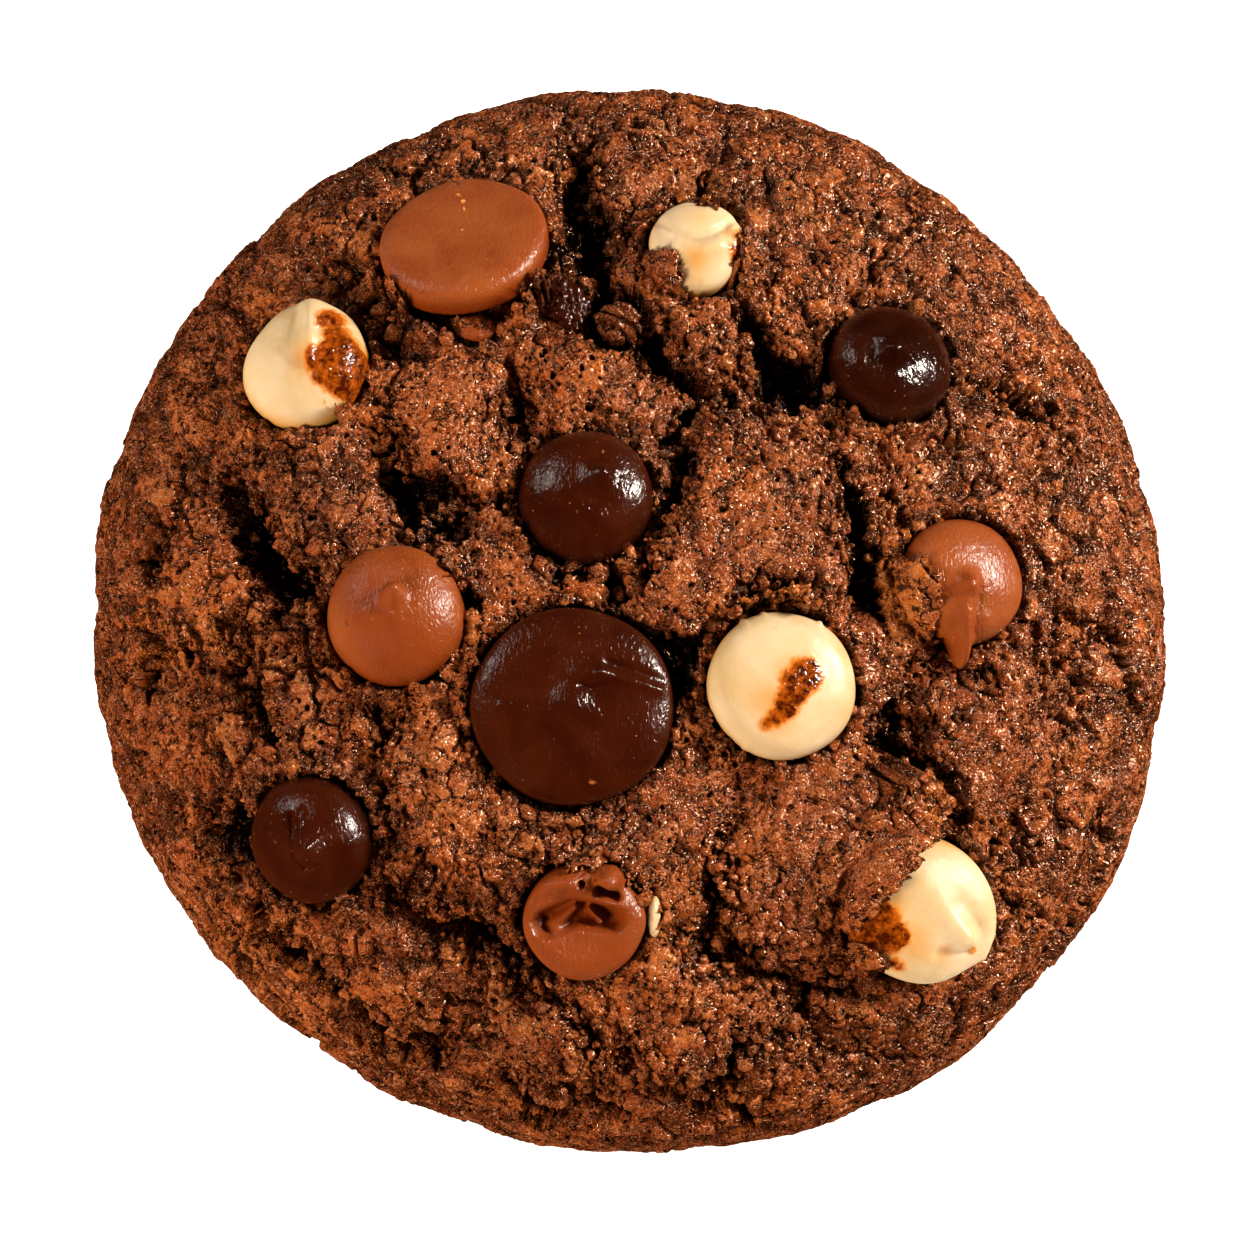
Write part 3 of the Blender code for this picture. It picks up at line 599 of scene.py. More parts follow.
def shell_mesh(name, points, faces, border, masks, plan):
    """A smooth mesh with a sharp border, its masks as attributes and its plan as the bake's map."""
    mesh = bpy.data.meshes.new(name)
    mesh.vertices.add(len(points))
    mesh.vertices.foreach_set("co", (points * MM).ravel())
    loops = np.concatenate([np.asarray(face).ravel() for face in faces])
    sizes = np.concatenate([np.full(len(face), np.asarray(face).shape[1]) for face in faces])
    mesh.loops.add(len(loops))
    mesh.loops.foreach_set("vertex_index", loops.astype(np.int32))
    mesh.polygons.add(len(sizes))
    mesh.polygons.foreach_set("loop_start", np.append(0, np.cumsum(sizes)[:-1]).astype(np.int32))
    mesh.update(calc_edges=True)
    mesh.shade_smooth()
    edges = np.empty(len(mesh.edges) * 2, np.int32)
    mesh.edges.foreach_get("vertices", edges)
    on_border = np.zeros(len(points), bool)
    on_border[border] = True
    sharp = on_border[edges.reshape(-1, 2)].all(axis=1)
    mesh.attributes.new("sharp_edge", "BOOLEAN", "EDGE").data.foreach_set("value", sharp)
    for mask, values in masks.items():
        values = np.append(values, np.zeros(len(points) - len(values))).astype(np.float32)
        mesh.attributes.new(mask, "FLOAT", "POINT").data.foreach_set("value", values)
    bake = mesh.uv_layers.new(name="OFBake")
    low, high = plan.min(), plan.max()
    shares = (plan[loops] - low) / (high - low) * 0.98 + 0.01
    bake.data.foreach_set("uv", shares.ravel().astype(np.float32))
    mesh.validate()
    return mesh


def grid_quads(rows, columns, closed):
    """Corners of the quads between rows of points, each row closed into a ring or open."""
    row = np.arange(rows - 1)[:, None] * columns
    column = np.arange(columns if closed else columns - 1)[None]
    beside = (column + 1) % columns
    quads = np.stack([row + column, row + columns + column, row + columns + beside, row + beside], axis=-1)
    return quads.reshape(-1, 4)


def plan_of(run, heading):
    """A run and heading laid out flat, as seen from above."""
    return np.stack([run * np.cos(heading), run * np.sin(heading)], axis=1)


def dough_heart():
    """The middle of the crown: a square net drawn to a disc, closed by a fan below it."""
    side = np.linspace(-1.0, 1.0, HEART_SIDE)
    across, up = (grid.ravel() for grid in np.meshgrid(side, side))
    flat_x = across * np.sqrt(1.0 - up ** 2 / 2.0)
    flat_y = up * np.sqrt(1.0 - across ** 2 / 2.0)
    heading = np.arctan2(flat_y, flat_x)
    edge = ring_run(HEART_RUN, heading)
    run = np.hypot(flat_x, flat_y) * (edge + LIP_RUN)
    points, masks = dough_points(run, heading, edge)
    quads = grid_quads(HEART_SIDE, HEART_SIDE, False)[:, ::-1]
    index = np.arange(HEART_SIDE ** 2).reshape(HEART_SIDE, HEART_SIDE)
    border = np.concatenate([index[0, :-1], index[:-1, -1], index[-1, :0:-1], index[:0:-1, 0]])
    count = len(points)
    points = np.concatenate([points, drawn_in(points[border]), [[0.0, 0.0, DOME_TOP - 10.0]]])
    skirt = count + np.arange(len(border))
    after = np.roll(np.arange(len(border)), -1)
    wall = np.stack([border, skirt, skirt[after], border[after]], axis=1)
    fan = np.stack([skirt, np.full(len(border), len(points) - 1), skirt[after]], axis=1)
    plan = np.concatenate([plan_of(run, heading), plan_of(run, heading)[border], [[0.0, 0.0]]])
    return shell_mesh("dough_heart", points, (quads, wall, fan), border, masks, plan)


def dough_ring(name, inner_run, outer_run, around, across):
    """A ring of the crust: a net in rings, closed by a wall at each edge and a strip below."""
    heading = np.tile(np.linspace(0.0, math.tau, around, endpoint=False), across)
    share = np.repeat(np.linspace(0.0, 1.0, across), around)
    inner = ring_run(inner_run, heading)
    outer = ring_run(outer_run, heading)
    run = inner + share * (outer + LIP_RUN - inner)
    points, masks = dough_points(run, heading, outer)
    quads = grid_quads(across, around, True)
    first = np.arange(around)
    last = first + (across - 1) * around
    count = len(points)
    points = np.concatenate([points, drawn_in(points[first]), drawn_in(points[last])])
    low_first = count + first
    low_last = low_first + around
    after = np.roll(first, -1)
    inner_wall = np.stack([first, first[after], low_first[after], low_first], axis=1)
    outer_wall = np.stack([last, low_last, low_last[after], last[after]], axis=1)
    floor = np.stack([low_first, low_first[after], low_last[after], low_last], axis=1)
    plan = plan_of(run, heading)
    plan = np.concatenate([plan, plan[first], plan[last]])
    border = np.concatenate([first, last])
    return shell_mesh(name, points, (quads, inner_wall, outer_wall, floor), border, masks, plan)


def dough_foot():
    """The foot and base: rings from the flank under to the middle of the base, closed above by a fan."""
    around = np.linspace(0.0, math.tau, FOOT_AROUND, endpoint=False)
    foot = SECTION_RUN[-1] - BASE_RADIUS
    inward = 1.0 + np.linspace(0.0, 0.995, BASE_ACROSS + 1)[1:] ** 1.5
    steps = np.append(np.linspace(0.0, 1.0, FOOT_ACROSS), inward)
    heading = np.tile(around, len(steps))
    share = np.repeat(steps, FOOT_AROUND)
    inner = ring_run(FOOT_RUN, heading)
    run = np.where(share <= 1.0, inner + share * (foot - inner), foot + (share - 1.0) * BASE_RADIUS)
    points, masks = dough_points(run, heading)
    quads = grid_quads(len(steps), FOOT_AROUND, True)
    first = np.arange(FOOT_AROUND)
    last = first + (len(steps) - 1) * FOOT_AROUND
    after = np.roll(first, -1)
    count = len(points)
    points = np.concatenate([points, drawn_in(points[first]), [[0.0, 0.0, 0.0]], [[0.0, 0.0, 8.0]]])
    low = count + first
    bottom, top = len(points) - 2, len(points) - 1
    inner_wall = np.stack([first, first[after], low[after], low], axis=1)
    base_fan = np.stack([last, np.full(FOOT_AROUND, bottom), last[after]], axis=1)
    top_fan = np.stack([low, low[after], np.full(FOOT_AROUND, top)], axis=1)
    spread = np.where(share <= 1.0, run, (SECTION_RUN[-1] - run) * 0.9)
    plan = plan_of(spread, heading)
    plan = np.concatenate([plan, plan[first], [[0.0, 0.0]], [[0.0, 0.0]]])
    return shell_mesh("dough_foot", points, (quads, inner_wall, base_fan, top_fan), first, masks, plan)


def linear(colour):
    """An sRGB hex colour as linear light."""
    channels = (int(colour[i:i + 2], 16) / 255 for i in (1, 3, 5))
    return [c / 12.92 if c <= 0.04045 else ((c + 0.055) / 1.055) ** 2.4 for c in channels] + [1.0]


def node(tree, kind, settings=None, **links):
    """Adds a node: settings go to its properties and sockets, links join its inputs to other sockets."""
    made = tree.nodes.new(kind)
    for key, value in (settings or {}).items():
        if isinstance(key, int) or key in made.inputs:
            made.inputs[key].default_value = value
        else:
            setattr(made, key, value)
    for key, source in links.items():
        socket = made.inputs[int(key[1:])] if key[1:].isdigit() else made.inputs[key.replace("_", " ")]
        tree.links.new(source, socket)
    return made


def new_material(name):
    """An empty node material, its tree, its Principled shader and the piece's own coordinates."""
    material = bpy.data.materials.new(name)
    material.use_nodes = True
    tree = material.node_tree
    tree.nodes.clear()
    shader = tree.nodes.new("ShaderNodeBsdfPrincipled")
    out = tree.nodes.new("ShaderNodeOutputMaterial")
    tree.links.new(shader.outputs[0], out.inputs["Surface"])
    place = tree.nodes.new("ShaderNodeTexCoord").outputs["Object"]
    return material, tree, shader, place


def blend_colour(tree, share, colour, base):
    """A colour laid over a base colour's socket by a share."""
    mixed = node(tree, "ShaderNodeMix", {"data_type": "RGBA", 7: linear(colour)}, Factor=share)
    tree.links.new(base, mixed.inputs[6])
    return mixed.outputs[2]


def remap(tree, value, low, high, to_low=0.0, to_high=1.0):
    """A value's share between two limits, laid onto two others."""
    limits = {"From Min": low, "From Max": high, "To Min": to_low, "To Max": to_high}
    return node(tree, "ShaderNodeMapRange", limits, Value=value).outputs[0]


def baked_dough():
    """Baked cocoa dough: a moist sugary crust, wetter in its open crumb, with painted shade in its pits,
    cracks and gaps and painted light and glints on its raised bits.
    """
    material, tree, shader, place = new_material("baked_cocoa_dough")
    broad = node(tree, "ShaderNodeTexNoise", {"Scale": 110.0, "Detail": 3.0}, Vector=place)
    mid = node(tree, "ShaderNodeTexNoise", {"Scale": 800.0, "Detail": 2.0, "Roughness": 0.5}, Vector=place)
    wrinkle = node(tree, "ShaderNodeTexNoise", {"Scale": 2600.0, "Detail": 0.0, "Distortion": 1.6},
                   Vector=place)
    grain = node(tree, "ShaderNodeTexNoise", {"Scale": 8000.0, "Detail": 1.0}, Vector=place)
    swayed = node(tree, "ShaderNodeVectorMath", {"operation": "MULTIPLY_ADD", 1: (0.0005, 0.0005, 0.0005)},
                  _0=wrinkle.outputs["Color"], _2=place)
    hole = node(tree, "ShaderNodeTexVoronoi", {"Scale": 1000.0}, Vector=swayed.outputs[0])
    scale_gap = node(tree, "ShaderNodeTexVoronoi", {"feature": "DISTANCE_TO_EDGE", "Scale": 1000.0},
                     Vector=swayed.outputs[0])
    crumb, deep, edge, fine, moist = (
        node(tree, "ShaderNodeAttribute", {"attribute_name": mask}).outputs["Fac"]
        for mask in ("crumb", "deep", "edge", "fine", "moist"))

    tone = node(tree, "ShaderNodeMath", {"operation": "MULTIPLY_ADD", 1: 0.6}, _0=mid.outputs["Fac"],
                _2=broad.outputs["Fac"])
    crust = node(tree, "ShaderNodeValToRGB", {}, Fac=tone.outputs[0])
    ramp = crust.color_ramp
    ramp.elements[0].position, ramp.elements[0].color = 0.55, linear("#5A2208")
    ramp.elements[1].position, ramp.elements[1].color = 1.00, linear("#9A4A18")
    middle = ramp.elements.new(0.80)
    middle.color = linear("#7E3610")
    colour = blend_colour(tree, remap(tree, moist, 0.0, 1.0, 0.0, 0.35), "#723419", crust.outputs[0])
    chosen = node(tree, "ShaderNodeSeparateColor", {}, Color=hole.outputs["Color"])
    colour = blend_colour(tree, remap(tree, chosen.outputs[1], 0.55, 1.0, 0.0, 0.25), "#A8683C", colour)
    colour = blend_colour(tree, remap(tree, chosen.outputs[1], 0.4, 0.0, 0.0, 0.25), "#4A1D08", colour)
    colour = blend_colour(tree, remap(tree, grain.outputs["Fac"], 0.50, 0.64, 0.0, 0.35), "#A05E38", colour)
    colour = blend_colour(tree, remap(tree, grain.outputs["Fac"], 0.46, 0.34, 0.0, 0.4), "#2E0F04", colour)
    # The crinkles' valleys painted dark: painted shade in the creases that the bump raises.
    colour = blend_colour(tree, remap(tree, wrinkle.outputs["Fac"], 0.44, 0.32, 0.0, 0.7), "#2C1006",
                          colour)
    # Torn plate edges and lap rims painted lighter orange: painted glow of light through the thin crust.
    colour = blend_colour(tree, remap(tree, edge, 0.3, 1.0, 0.0, 0.65), "#B0601E", colour)
    # Painted light on the high spots of the fine relief and painted shade in its low spots and between loose
    # crumbs.
    colour = blend_colour(tree, remap(tree, fine, 0.62, 0.95, 0.0, 0.4), "#A4602E", colour)
    colour = blend_colour(tree, remap(tree, fine, 0.38, 0.05, 0.0, 0.7), "#341204", colour)
    # Open crumb darker: the wetter crumb, and partly painted shade of the fissures and hollows it lies in.
    colour = blend_colour(tree, remap(tree, crumb, 0.2, 0.9, 0.0, 0.85), "#3E1604", colour)
    # Pale squiggly lines painted into the colour as glints, and raised a little in the bump.
    glint_noise = node(tree, "ShaderNodeTexNoise", {"Scale": 1700.0, "Detail": 0.0, "Distortion": 2.0},
                Vector=place)
    halved = node(tree, "ShaderNodeMath", {"operation": "SUBTRACT", 1: 0.5}, _0=glint_noise.outputs["Fac"])
    furrow = node(tree, "ShaderNodeMath", {"operation": "ABSOLUTE"}, _0=halved.outputs[0])
    painted_glint = node(tree, "ShaderNodeMath", {"operation": "MULTIPLY"},
                  _0=remap(tree, furrow.outputs[0], 0.05, 0.015),
                  _1=remap(tree, wrinkle.outputs["Fac"], 0.46, 0.54, 0.0, 0.45))
    colour = blend_colour(tree, painted_glint.outputs[0], "#D89C74", colour)
    # Hairline cracks between small flakes painted dark: painted shade in the cracks, which the bump also
    # dents.
    crack = node(tree, "ShaderNodeMath", {"operation": "MULTIPLY"},
                 _0=remap(tree, scale_gap.outputs["Distance"], 0.08, 0.025),
                 _1=remap(tree, mid.outputs["Fac"], 0.52, 0.44))
    colour = blend_colour(tree, crack.outputs[0], "#180702", colour)
    # Pinholes painted near black: painted shade inside them.
    open_hole = node(tree, "ShaderNodeMath", {"operation": "MULTIPLY"},
                     _0=remap(tree, hole.outputs["Distance"], 0.19, 0.13),
                     _1=remap(tree, chosen.outputs[0], 0.64, 0.66))
    colour = blend_colour(tree, open_hole.outputs[0], "#0A0300", colour)
    # Near black wherever the dough lies deep: painted shade in fissures, hollows, moats, between crumbs and
    # in pits.
    colour = blend_colour(tree, remap(tree, deep, 0.1, 0.8, 0.0, 1.0), "#060100", colour)
    tree.links.new(colour, shader.inputs["Base Color"])

    gloss = remap(tree, mid.outputs["Fac"], 0.35, 0.65, 0.10, 0.16)
    wet_gloss = node(tree, "ShaderNodeMix", {"data_type": "FLOAT", 3: 0.10}, Factor=crumb)
    tree.links.new(gloss, wet_gloss.inputs[2])
    tree.links.new(wet_gloss.outputs[0], shader.inputs["Roughness"])
    shader.inputs["IOR"].default_value = 1.5
    shader.inputs["Specular IOR Level"].default_value = 0.85
    shader.inputs["Specular Tint"].default_value = linear("#FFD4B4")

    patch = node(tree, "ShaderNodeTexNoise", {"Scale": 380.0, "Detail": 1.0}, Vector=place)
    crinkled = node(tree, "ShaderNodeMath", {"operation": "MULTIPLY"}, _0=wrinkle.outputs["Fac"],
                    _1=remap(tree, patch.outputs["Fac"], 0.42, 0.58, 0.6, 1.9))
    height = node(tree, "ShaderNodeMath", {"operation": "MULTIPLY_ADD", 1: 0.8}, _0=mid.outputs["Fac"],
                  _2=crinkled.outputs[0])
    dented = node(tree, "ShaderNodeMath", {"operation": "MULTIPLY_ADD", 1: -1.6}, _0=open_hole.outputs[0],
                  _2=height.outputs[0])
    split = node(tree, "ShaderNodeMath", {"operation": "MULTIPLY_ADD", 1: -0.9}, _0=crack.outputs[0],
                 _2=dented.outputs[0])
    raised = node(tree, "ShaderNodeMath", {"operation": "MULTIPLY_ADD", 1: 0.2}, _0=painted_glint.outputs[0],
                  _2=split.outputs[0])
    bump = node(tree, "ShaderNodeBump", {"Strength": 1.0, "Distance": 0.00018}, Height=raised.outputs[0])
    tree.links.new(bump.outputs[0], shader.inputs["Normal"])
    return material


def add_piece(name, mesh, material, replaced):
    """A finished piece at the origin, riding with the cookie and standing for its solid."""
    piece = bpy.data.objects.new(name, mesh)
    bpy.context.scene.collection.objects.link(piece)
    mesh.materials.clear()
    mesh.materials.append(material)
    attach(piece, "root")
    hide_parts(replaced)
    return piece


dough_material = baked_dough()
add_piece("dough_heart", dough_heart(), dough_material, "dough")
for name, (inner_run, outer_run, around, across) in RINGS.items():
    ring = dough_ring(name, inner_run, outer_run, around, across)
    add_piece(name, ring, dough_material, "dough")
add_piece("dough_foot", dough_foot(), dough_material, "dough")

# Crumbs and flakes
# Bits of the broken crust that lie in its fissures and stick to its torn edges, from a sugar grain's size
# to over a millimetre. They are the same baked dough, with painted shade where they fell deep.

CRUMB_DRAWS = 70000
CRUMB_REACH = 43.0
CRUMBS = {
    "dough_crumbs": {"count": 2150, "seed": 5, "Smallest": 0.00028, "Largest": 0.00125, "Flatness": 0.8,
                     "Tilt": 3.0},
    "dough_flakes": {"count": 420, "seed": 6, "Smallest": 0.0004, "Largest": 0.0014, "Flatness": 0.34,
                     "Tilt": 0.8},
}


def lump_places(count, seed, flaky):
    """Places of loose bits on the dough, the way out there, and their masks.

    Flakes stick to torn edges, and crumbs lie between them."""
    draw = np.random.default_rng(seed)
    heading = draw.uniform(-math.pi, math.pi, CRUMB_DRAWS)
    points, normals = dome_surface(CRUMB_REACH * np.sqrt(draw.uniform(size=CRUMB_DRAWS)), heading)
    height, masks = dough_relief(points, normals)
    open_air = np.ones(CRUMB_DRAWS)
    for name, (_, radius, _, _) in SEATS.items():
        seat = np.array(seat_frame(name))
        local = (points - seat[:3, 3]) @ seat[:3, :3]
        open_air[np.hypot(local[:, 0], local[:, 1]) < radius - 0.1] = 0.0
    likely = masks["edge"] if flaky else np.clip(masks["crumb"] + 0.3 * masks["edge"], 0.0, 1.0)
    likely = likely * (1.0 - 0.8 * masks["deep"]) * open_air
    chosen = np.flatnonzero(draw.uniform(size=CRUMB_DRAWS) < likely)[:count]
    blank = np.zeros(len(chosen))
    pale = draw.uniform(size=len(chosen))
    # Crumbs take painted shade where they lie deep, and by chance the torn edges' paler orange.
    looks = {"crumb": blank + (0.0 if flaky else 0.35), "deep": 0.4 * masks["deep"][chosen], "moist": blank,
             "edge": 0.15 + 0.45 * pale ** 3, "fine": 0.45 + 0.35 * pale}
    return (points + normals * height[:, None])[chosen] * MM, normals[chosen], looks


def scatter_lumps():
    """Geometry nodes that lay a small ball on each point, sized, squashed, turned and dented by chance."""
    tree = bpy.data.node_groups.new("scatter_lumps", "GeometryNodeTree")
    inputs = {"Points": "Geometry", "Smallest": "Float", "Largest": "Float", "Flatness": "Float",
              "Tilt": "Float",
              "Seed": "Int", "Finish": "Material"}
    keys = {name: tree.interface.new_socket(name, in_out="INPUT",
                                            socket_type="NodeSocket" + kind).identifier
            for name, kind in inputs.items()}
    tree.interface.new_socket("Lumps", in_out="OUTPUT", socket_type="NodeSocketGeometry")
    given = tree.nodes.new("NodeGroupInput").outputs
    chance = node(tree, "FunctionNodeRandomValue", {}, Seed=given["Seed"])
    rare = node(tree, "ShaderNodeMath", {"operation": "POWER", 1: 2.4}, _0=chance.outputs[1])
    size = node(tree, "ShaderNodeMapRange", {}, Value=rare.outputs[0], To_Min=given["Smallest"],
                To_Max=given["Largest"])
    uneven = node(tree, "FunctionNodeRandomValue", {"data_type": "FLOAT_VECTOR", 0: (0.75,) * 3,
                                                    1: (1.25,) * 3},
                  Seed=given["Seed"])
    squash = node(tree, "ShaderNodeCombineXYZ", {"X": 1.0, "Y": 1.0}, Z=given["Flatness"])
    shape = node(tree, "ShaderNodeVectorMath", {"operation": "MULTIPLY"}, _0=uneven.outputs[0],
                 _1=squash.outputs[0])
    scaled = node(tree, "ShaderNodeVectorMath", {"operation": "SCALE"}, _0=shape.outputs[0],
                  Scale=size.outputs[0])
    turns = node(tree, "FunctionNodeRandomValue", {"data_type": "FLOAT_VECTOR", 0: (-1.0, -1.0, -3.14),
                                                   1: (1.0, 1.0, 3.14)},
                 Seed=given["Seed"])
    slack = node(tree, "ShaderNodeCombineXYZ", {"Z": 1.0}, X=given["Tilt"], Y=given["Tilt"])
    turn = node(tree, "ShaderNodeVectorMath", {"operation": "MULTIPLY"}, _0=turns.outputs[0],
                _1=slack.outputs[0])
    way_out = node(tree, "GeometryNodeInputNamedAttribute",
                   {"data_type": "FLOAT_VECTOR", "Name": "way_out"})
    upright = node(tree, "FunctionNodeAlignRotationToVector", {"axis": "Z"}, Vector=way_out.outputs[0])
    tilted = node(tree, "FunctionNodeRotateRotation", {"rotation_space": "LOCAL"},
                  Rotation=upright.outputs[0],
                  Rotate_By=turn.outputs[0])
    ball = node(tree, "GeometryNodeMeshIcoSphere", {"Radius": 0.5, "Subdivisions": 2})
    laid = node(tree, "GeometryNodeInstanceOnPoints", {}, Points=given["Points"], Instance=ball.outputs[0],
                Rotation=tilted.outputs[0], Scale=scaled.outputs[0])
    sized = node(tree, "GeometryNodeStoreNamedAttribute", {"domain": "INSTANCE", "Name": "size"},
                 Geometry=laid.outputs[0], Value=size.outputs[0])
    real = node(tree, "GeometryNodeRealizeInstances", {}, Geometry=sized.outputs[0])
    place = node(tree, "GeometryNodeInputPosition")
    dent = node(tree, "ShaderNodeTexNoise", {"Scale": 2600.0, "Detail": 1.0}, Vector=place.outputs[0])
    depth = node(tree, "ShaderNodeMath", {"operation": "SUBTRACT", 1: 0.5}, _0=dent.outputs["Fac"])
    own_size = node(tree, "GeometryNodeInputNamedAttribute", {"Name": "size"})
    push = node(tree, "ShaderNodeMath", {"operation": "MULTIPLY"}, _0=depth.outputs[0],
                _1=own_size.outputs[0])
    outward = node(tree, "GeometryNodeInputNormal")
    shift = node(tree, "ShaderNodeVectorMath", {"operation": "SCALE"}, _0=outward.outputs[0],
                 Scale=push.outputs[0])
    dented = node(tree, "GeometryNodeSetPosition", {}, Geometry=real.outputs[0], Offset=shift.outputs[0])
    smooth = node(tree, "GeometryNodeSetShadeSmooth", {}, Geometry=dented.outputs[0])
    finished = node(tree, "GeometryNodeSetMaterial", {}, Geometry=smooth.outputs[0],
                    Material=given["Finish"])
    node(tree, "NodeGroupOutput", {}, Lumps=finished.outputs[0])
    return tree, keys


lump_tree, lump_keys = scatter_lumps()
for name, sizes in CRUMBS.items():
    places, ways_out, looks = lump_places(sizes["count"], sizes["seed"], name == "dough_flakes")
    seeds = bpy.data.meshes.new(name + "_places")
    seeds.vertices.add(len(places))
    seeds.vertices.foreach_set("co", places.ravel())
    seeds.attributes.new("way_out", "FLOAT_VECTOR", "POINT").data.foreach_set("vector", ways_out.ravel())
    for mask, values in looks.items():
        seeds.attributes.new(mask, "FLOAT", "POINT").data.foreach_set("value", values.astype(np.float32))
    scattered = bpy.data.objects.new(name + "_places", seeds)
    bpy.context.scene.collection.objects.link(scattered)
    lumps = scattered.modifiers.new("scatter", "NODES")
    lumps.node_group = lump_tree
    for key in ("Smallest", "Largest", "Flatness", "Tilt"):
        lumps[lump_keys[key]] = sizes[key]
    lumps[lump_keys["Seed"]] = sizes["seed"]
    lumps[lump_keys["Finish"]] = dough_material
    mesh = bpy.data.meshes.new_from_object(scattered.evaluated_get(bpy.context.evaluated_depsgraph_get()))
    bpy.data.objects.remove(scattered)
    for spare in ("way_out", "size"):
        mesh.attributes.remove(mesh.attributes[spare])
    corners = np.empty(len(mesh.loops), np.int32)
    mesh.loops.foreach_get("vertex_index", corners)
    flat = np.empty(len(mesh.vertices) * 3)
    mesh.vertices.foreach_get("co", flat)
    flat = flat.reshape(-1, 3)[corners, :2] / (2.2 * DOME_RADIUS * MM) + 0.5
    mesh.uv_layers.new(name="OFBake").data.foreach_set("uv", flat.ravel().astype(np.float32))
    add_piece(name, mesh, dough_material, "dough")

# Milk chocolate: two chips, a half-melted one, a disc and a bit
# Cast drops of milk chocolate that softened in the oven and set again with a satin skin. Each is one
# closed skin turned round its own axis, then pulled, folded and dented as the real drop is.

SPOKES = 180
SKIN_ROWS = 94
ROOT_DEPTH = 1.9
RIPPLE = (0.36, 1.2, 0.014)


def taper(ends, share):
    """A value that runs from its first to its last end."""
    return ends[0] + (ends[1] - ends[0]) * share


def stroke(x, y, path, widths, heights, firmness=2.0):
    """Height along a path seen from above: a rounded ridge, or a crease where it is negative."""
    stops = path if len(path) > 1 else (path[0], (path[0][0] + 0.001, path[0][1]))
    away, share = path_distance(np.stack([x, y], axis=1), stops)
    return taper(heights, share) * np.exp(-(away / taper(widths, share)) ** firmness)


def chip_section(radius, rise, nub, power):
    """Evenly spaced rows of a chip's half section, from its tip to the root: across, height and run."""
    crown = np.linspace(0.0, math.pi / 2, 600)
    across = radius * np.sin(crown) ** (2 / power)
    height = rise * np.cos(crown) ** (2 / power) + nub[0] * np.exp(-((across / nub[1]) ** 2.6))
    root = np.linspace(0.0, math.pi / 2, 200)[1:]
    across = np.append(across, radius * np.cos(root) ** (2 / 3))
    height = np.append(height, -ROOT_DEPTH * np.sin(root) ** (2 / 3))
    run = np.append(0.0, np.cumsum(np.hypot(np.diff(across), np.diff(height))))
    rows = np.linspace(0.0, run[-1], SKIN_ROWS + 2)[1:-1]
    return np.interp(rows, run, across), np.interp(rows, run, height), rows


def spots(x, y, places, softness=0.5, seed=7):
    """A mask of ragged round spots: 1 within each radius and 0 outside."""
    flat = np.stack([x, y, np.zeros_like(x)], axis=1)
    ragged = 0.18 * gradient_noise(flat, 0.9, seed) + 0.14 * gradient_noise(flat, 0.35, seed + 1)
    ragged += 0.10 * gradient_noise(flat, 0.17, seed + 2)
    mask = np.zeros(len(x))
    for spot_x, spot_y, radius in places:
        away = np.hypot(x - spot_x, y - spot_y) + ragged
        mask = np.maximum(mask, 1.0 - ease(radius - softness, radius + softness, away))
    return mask


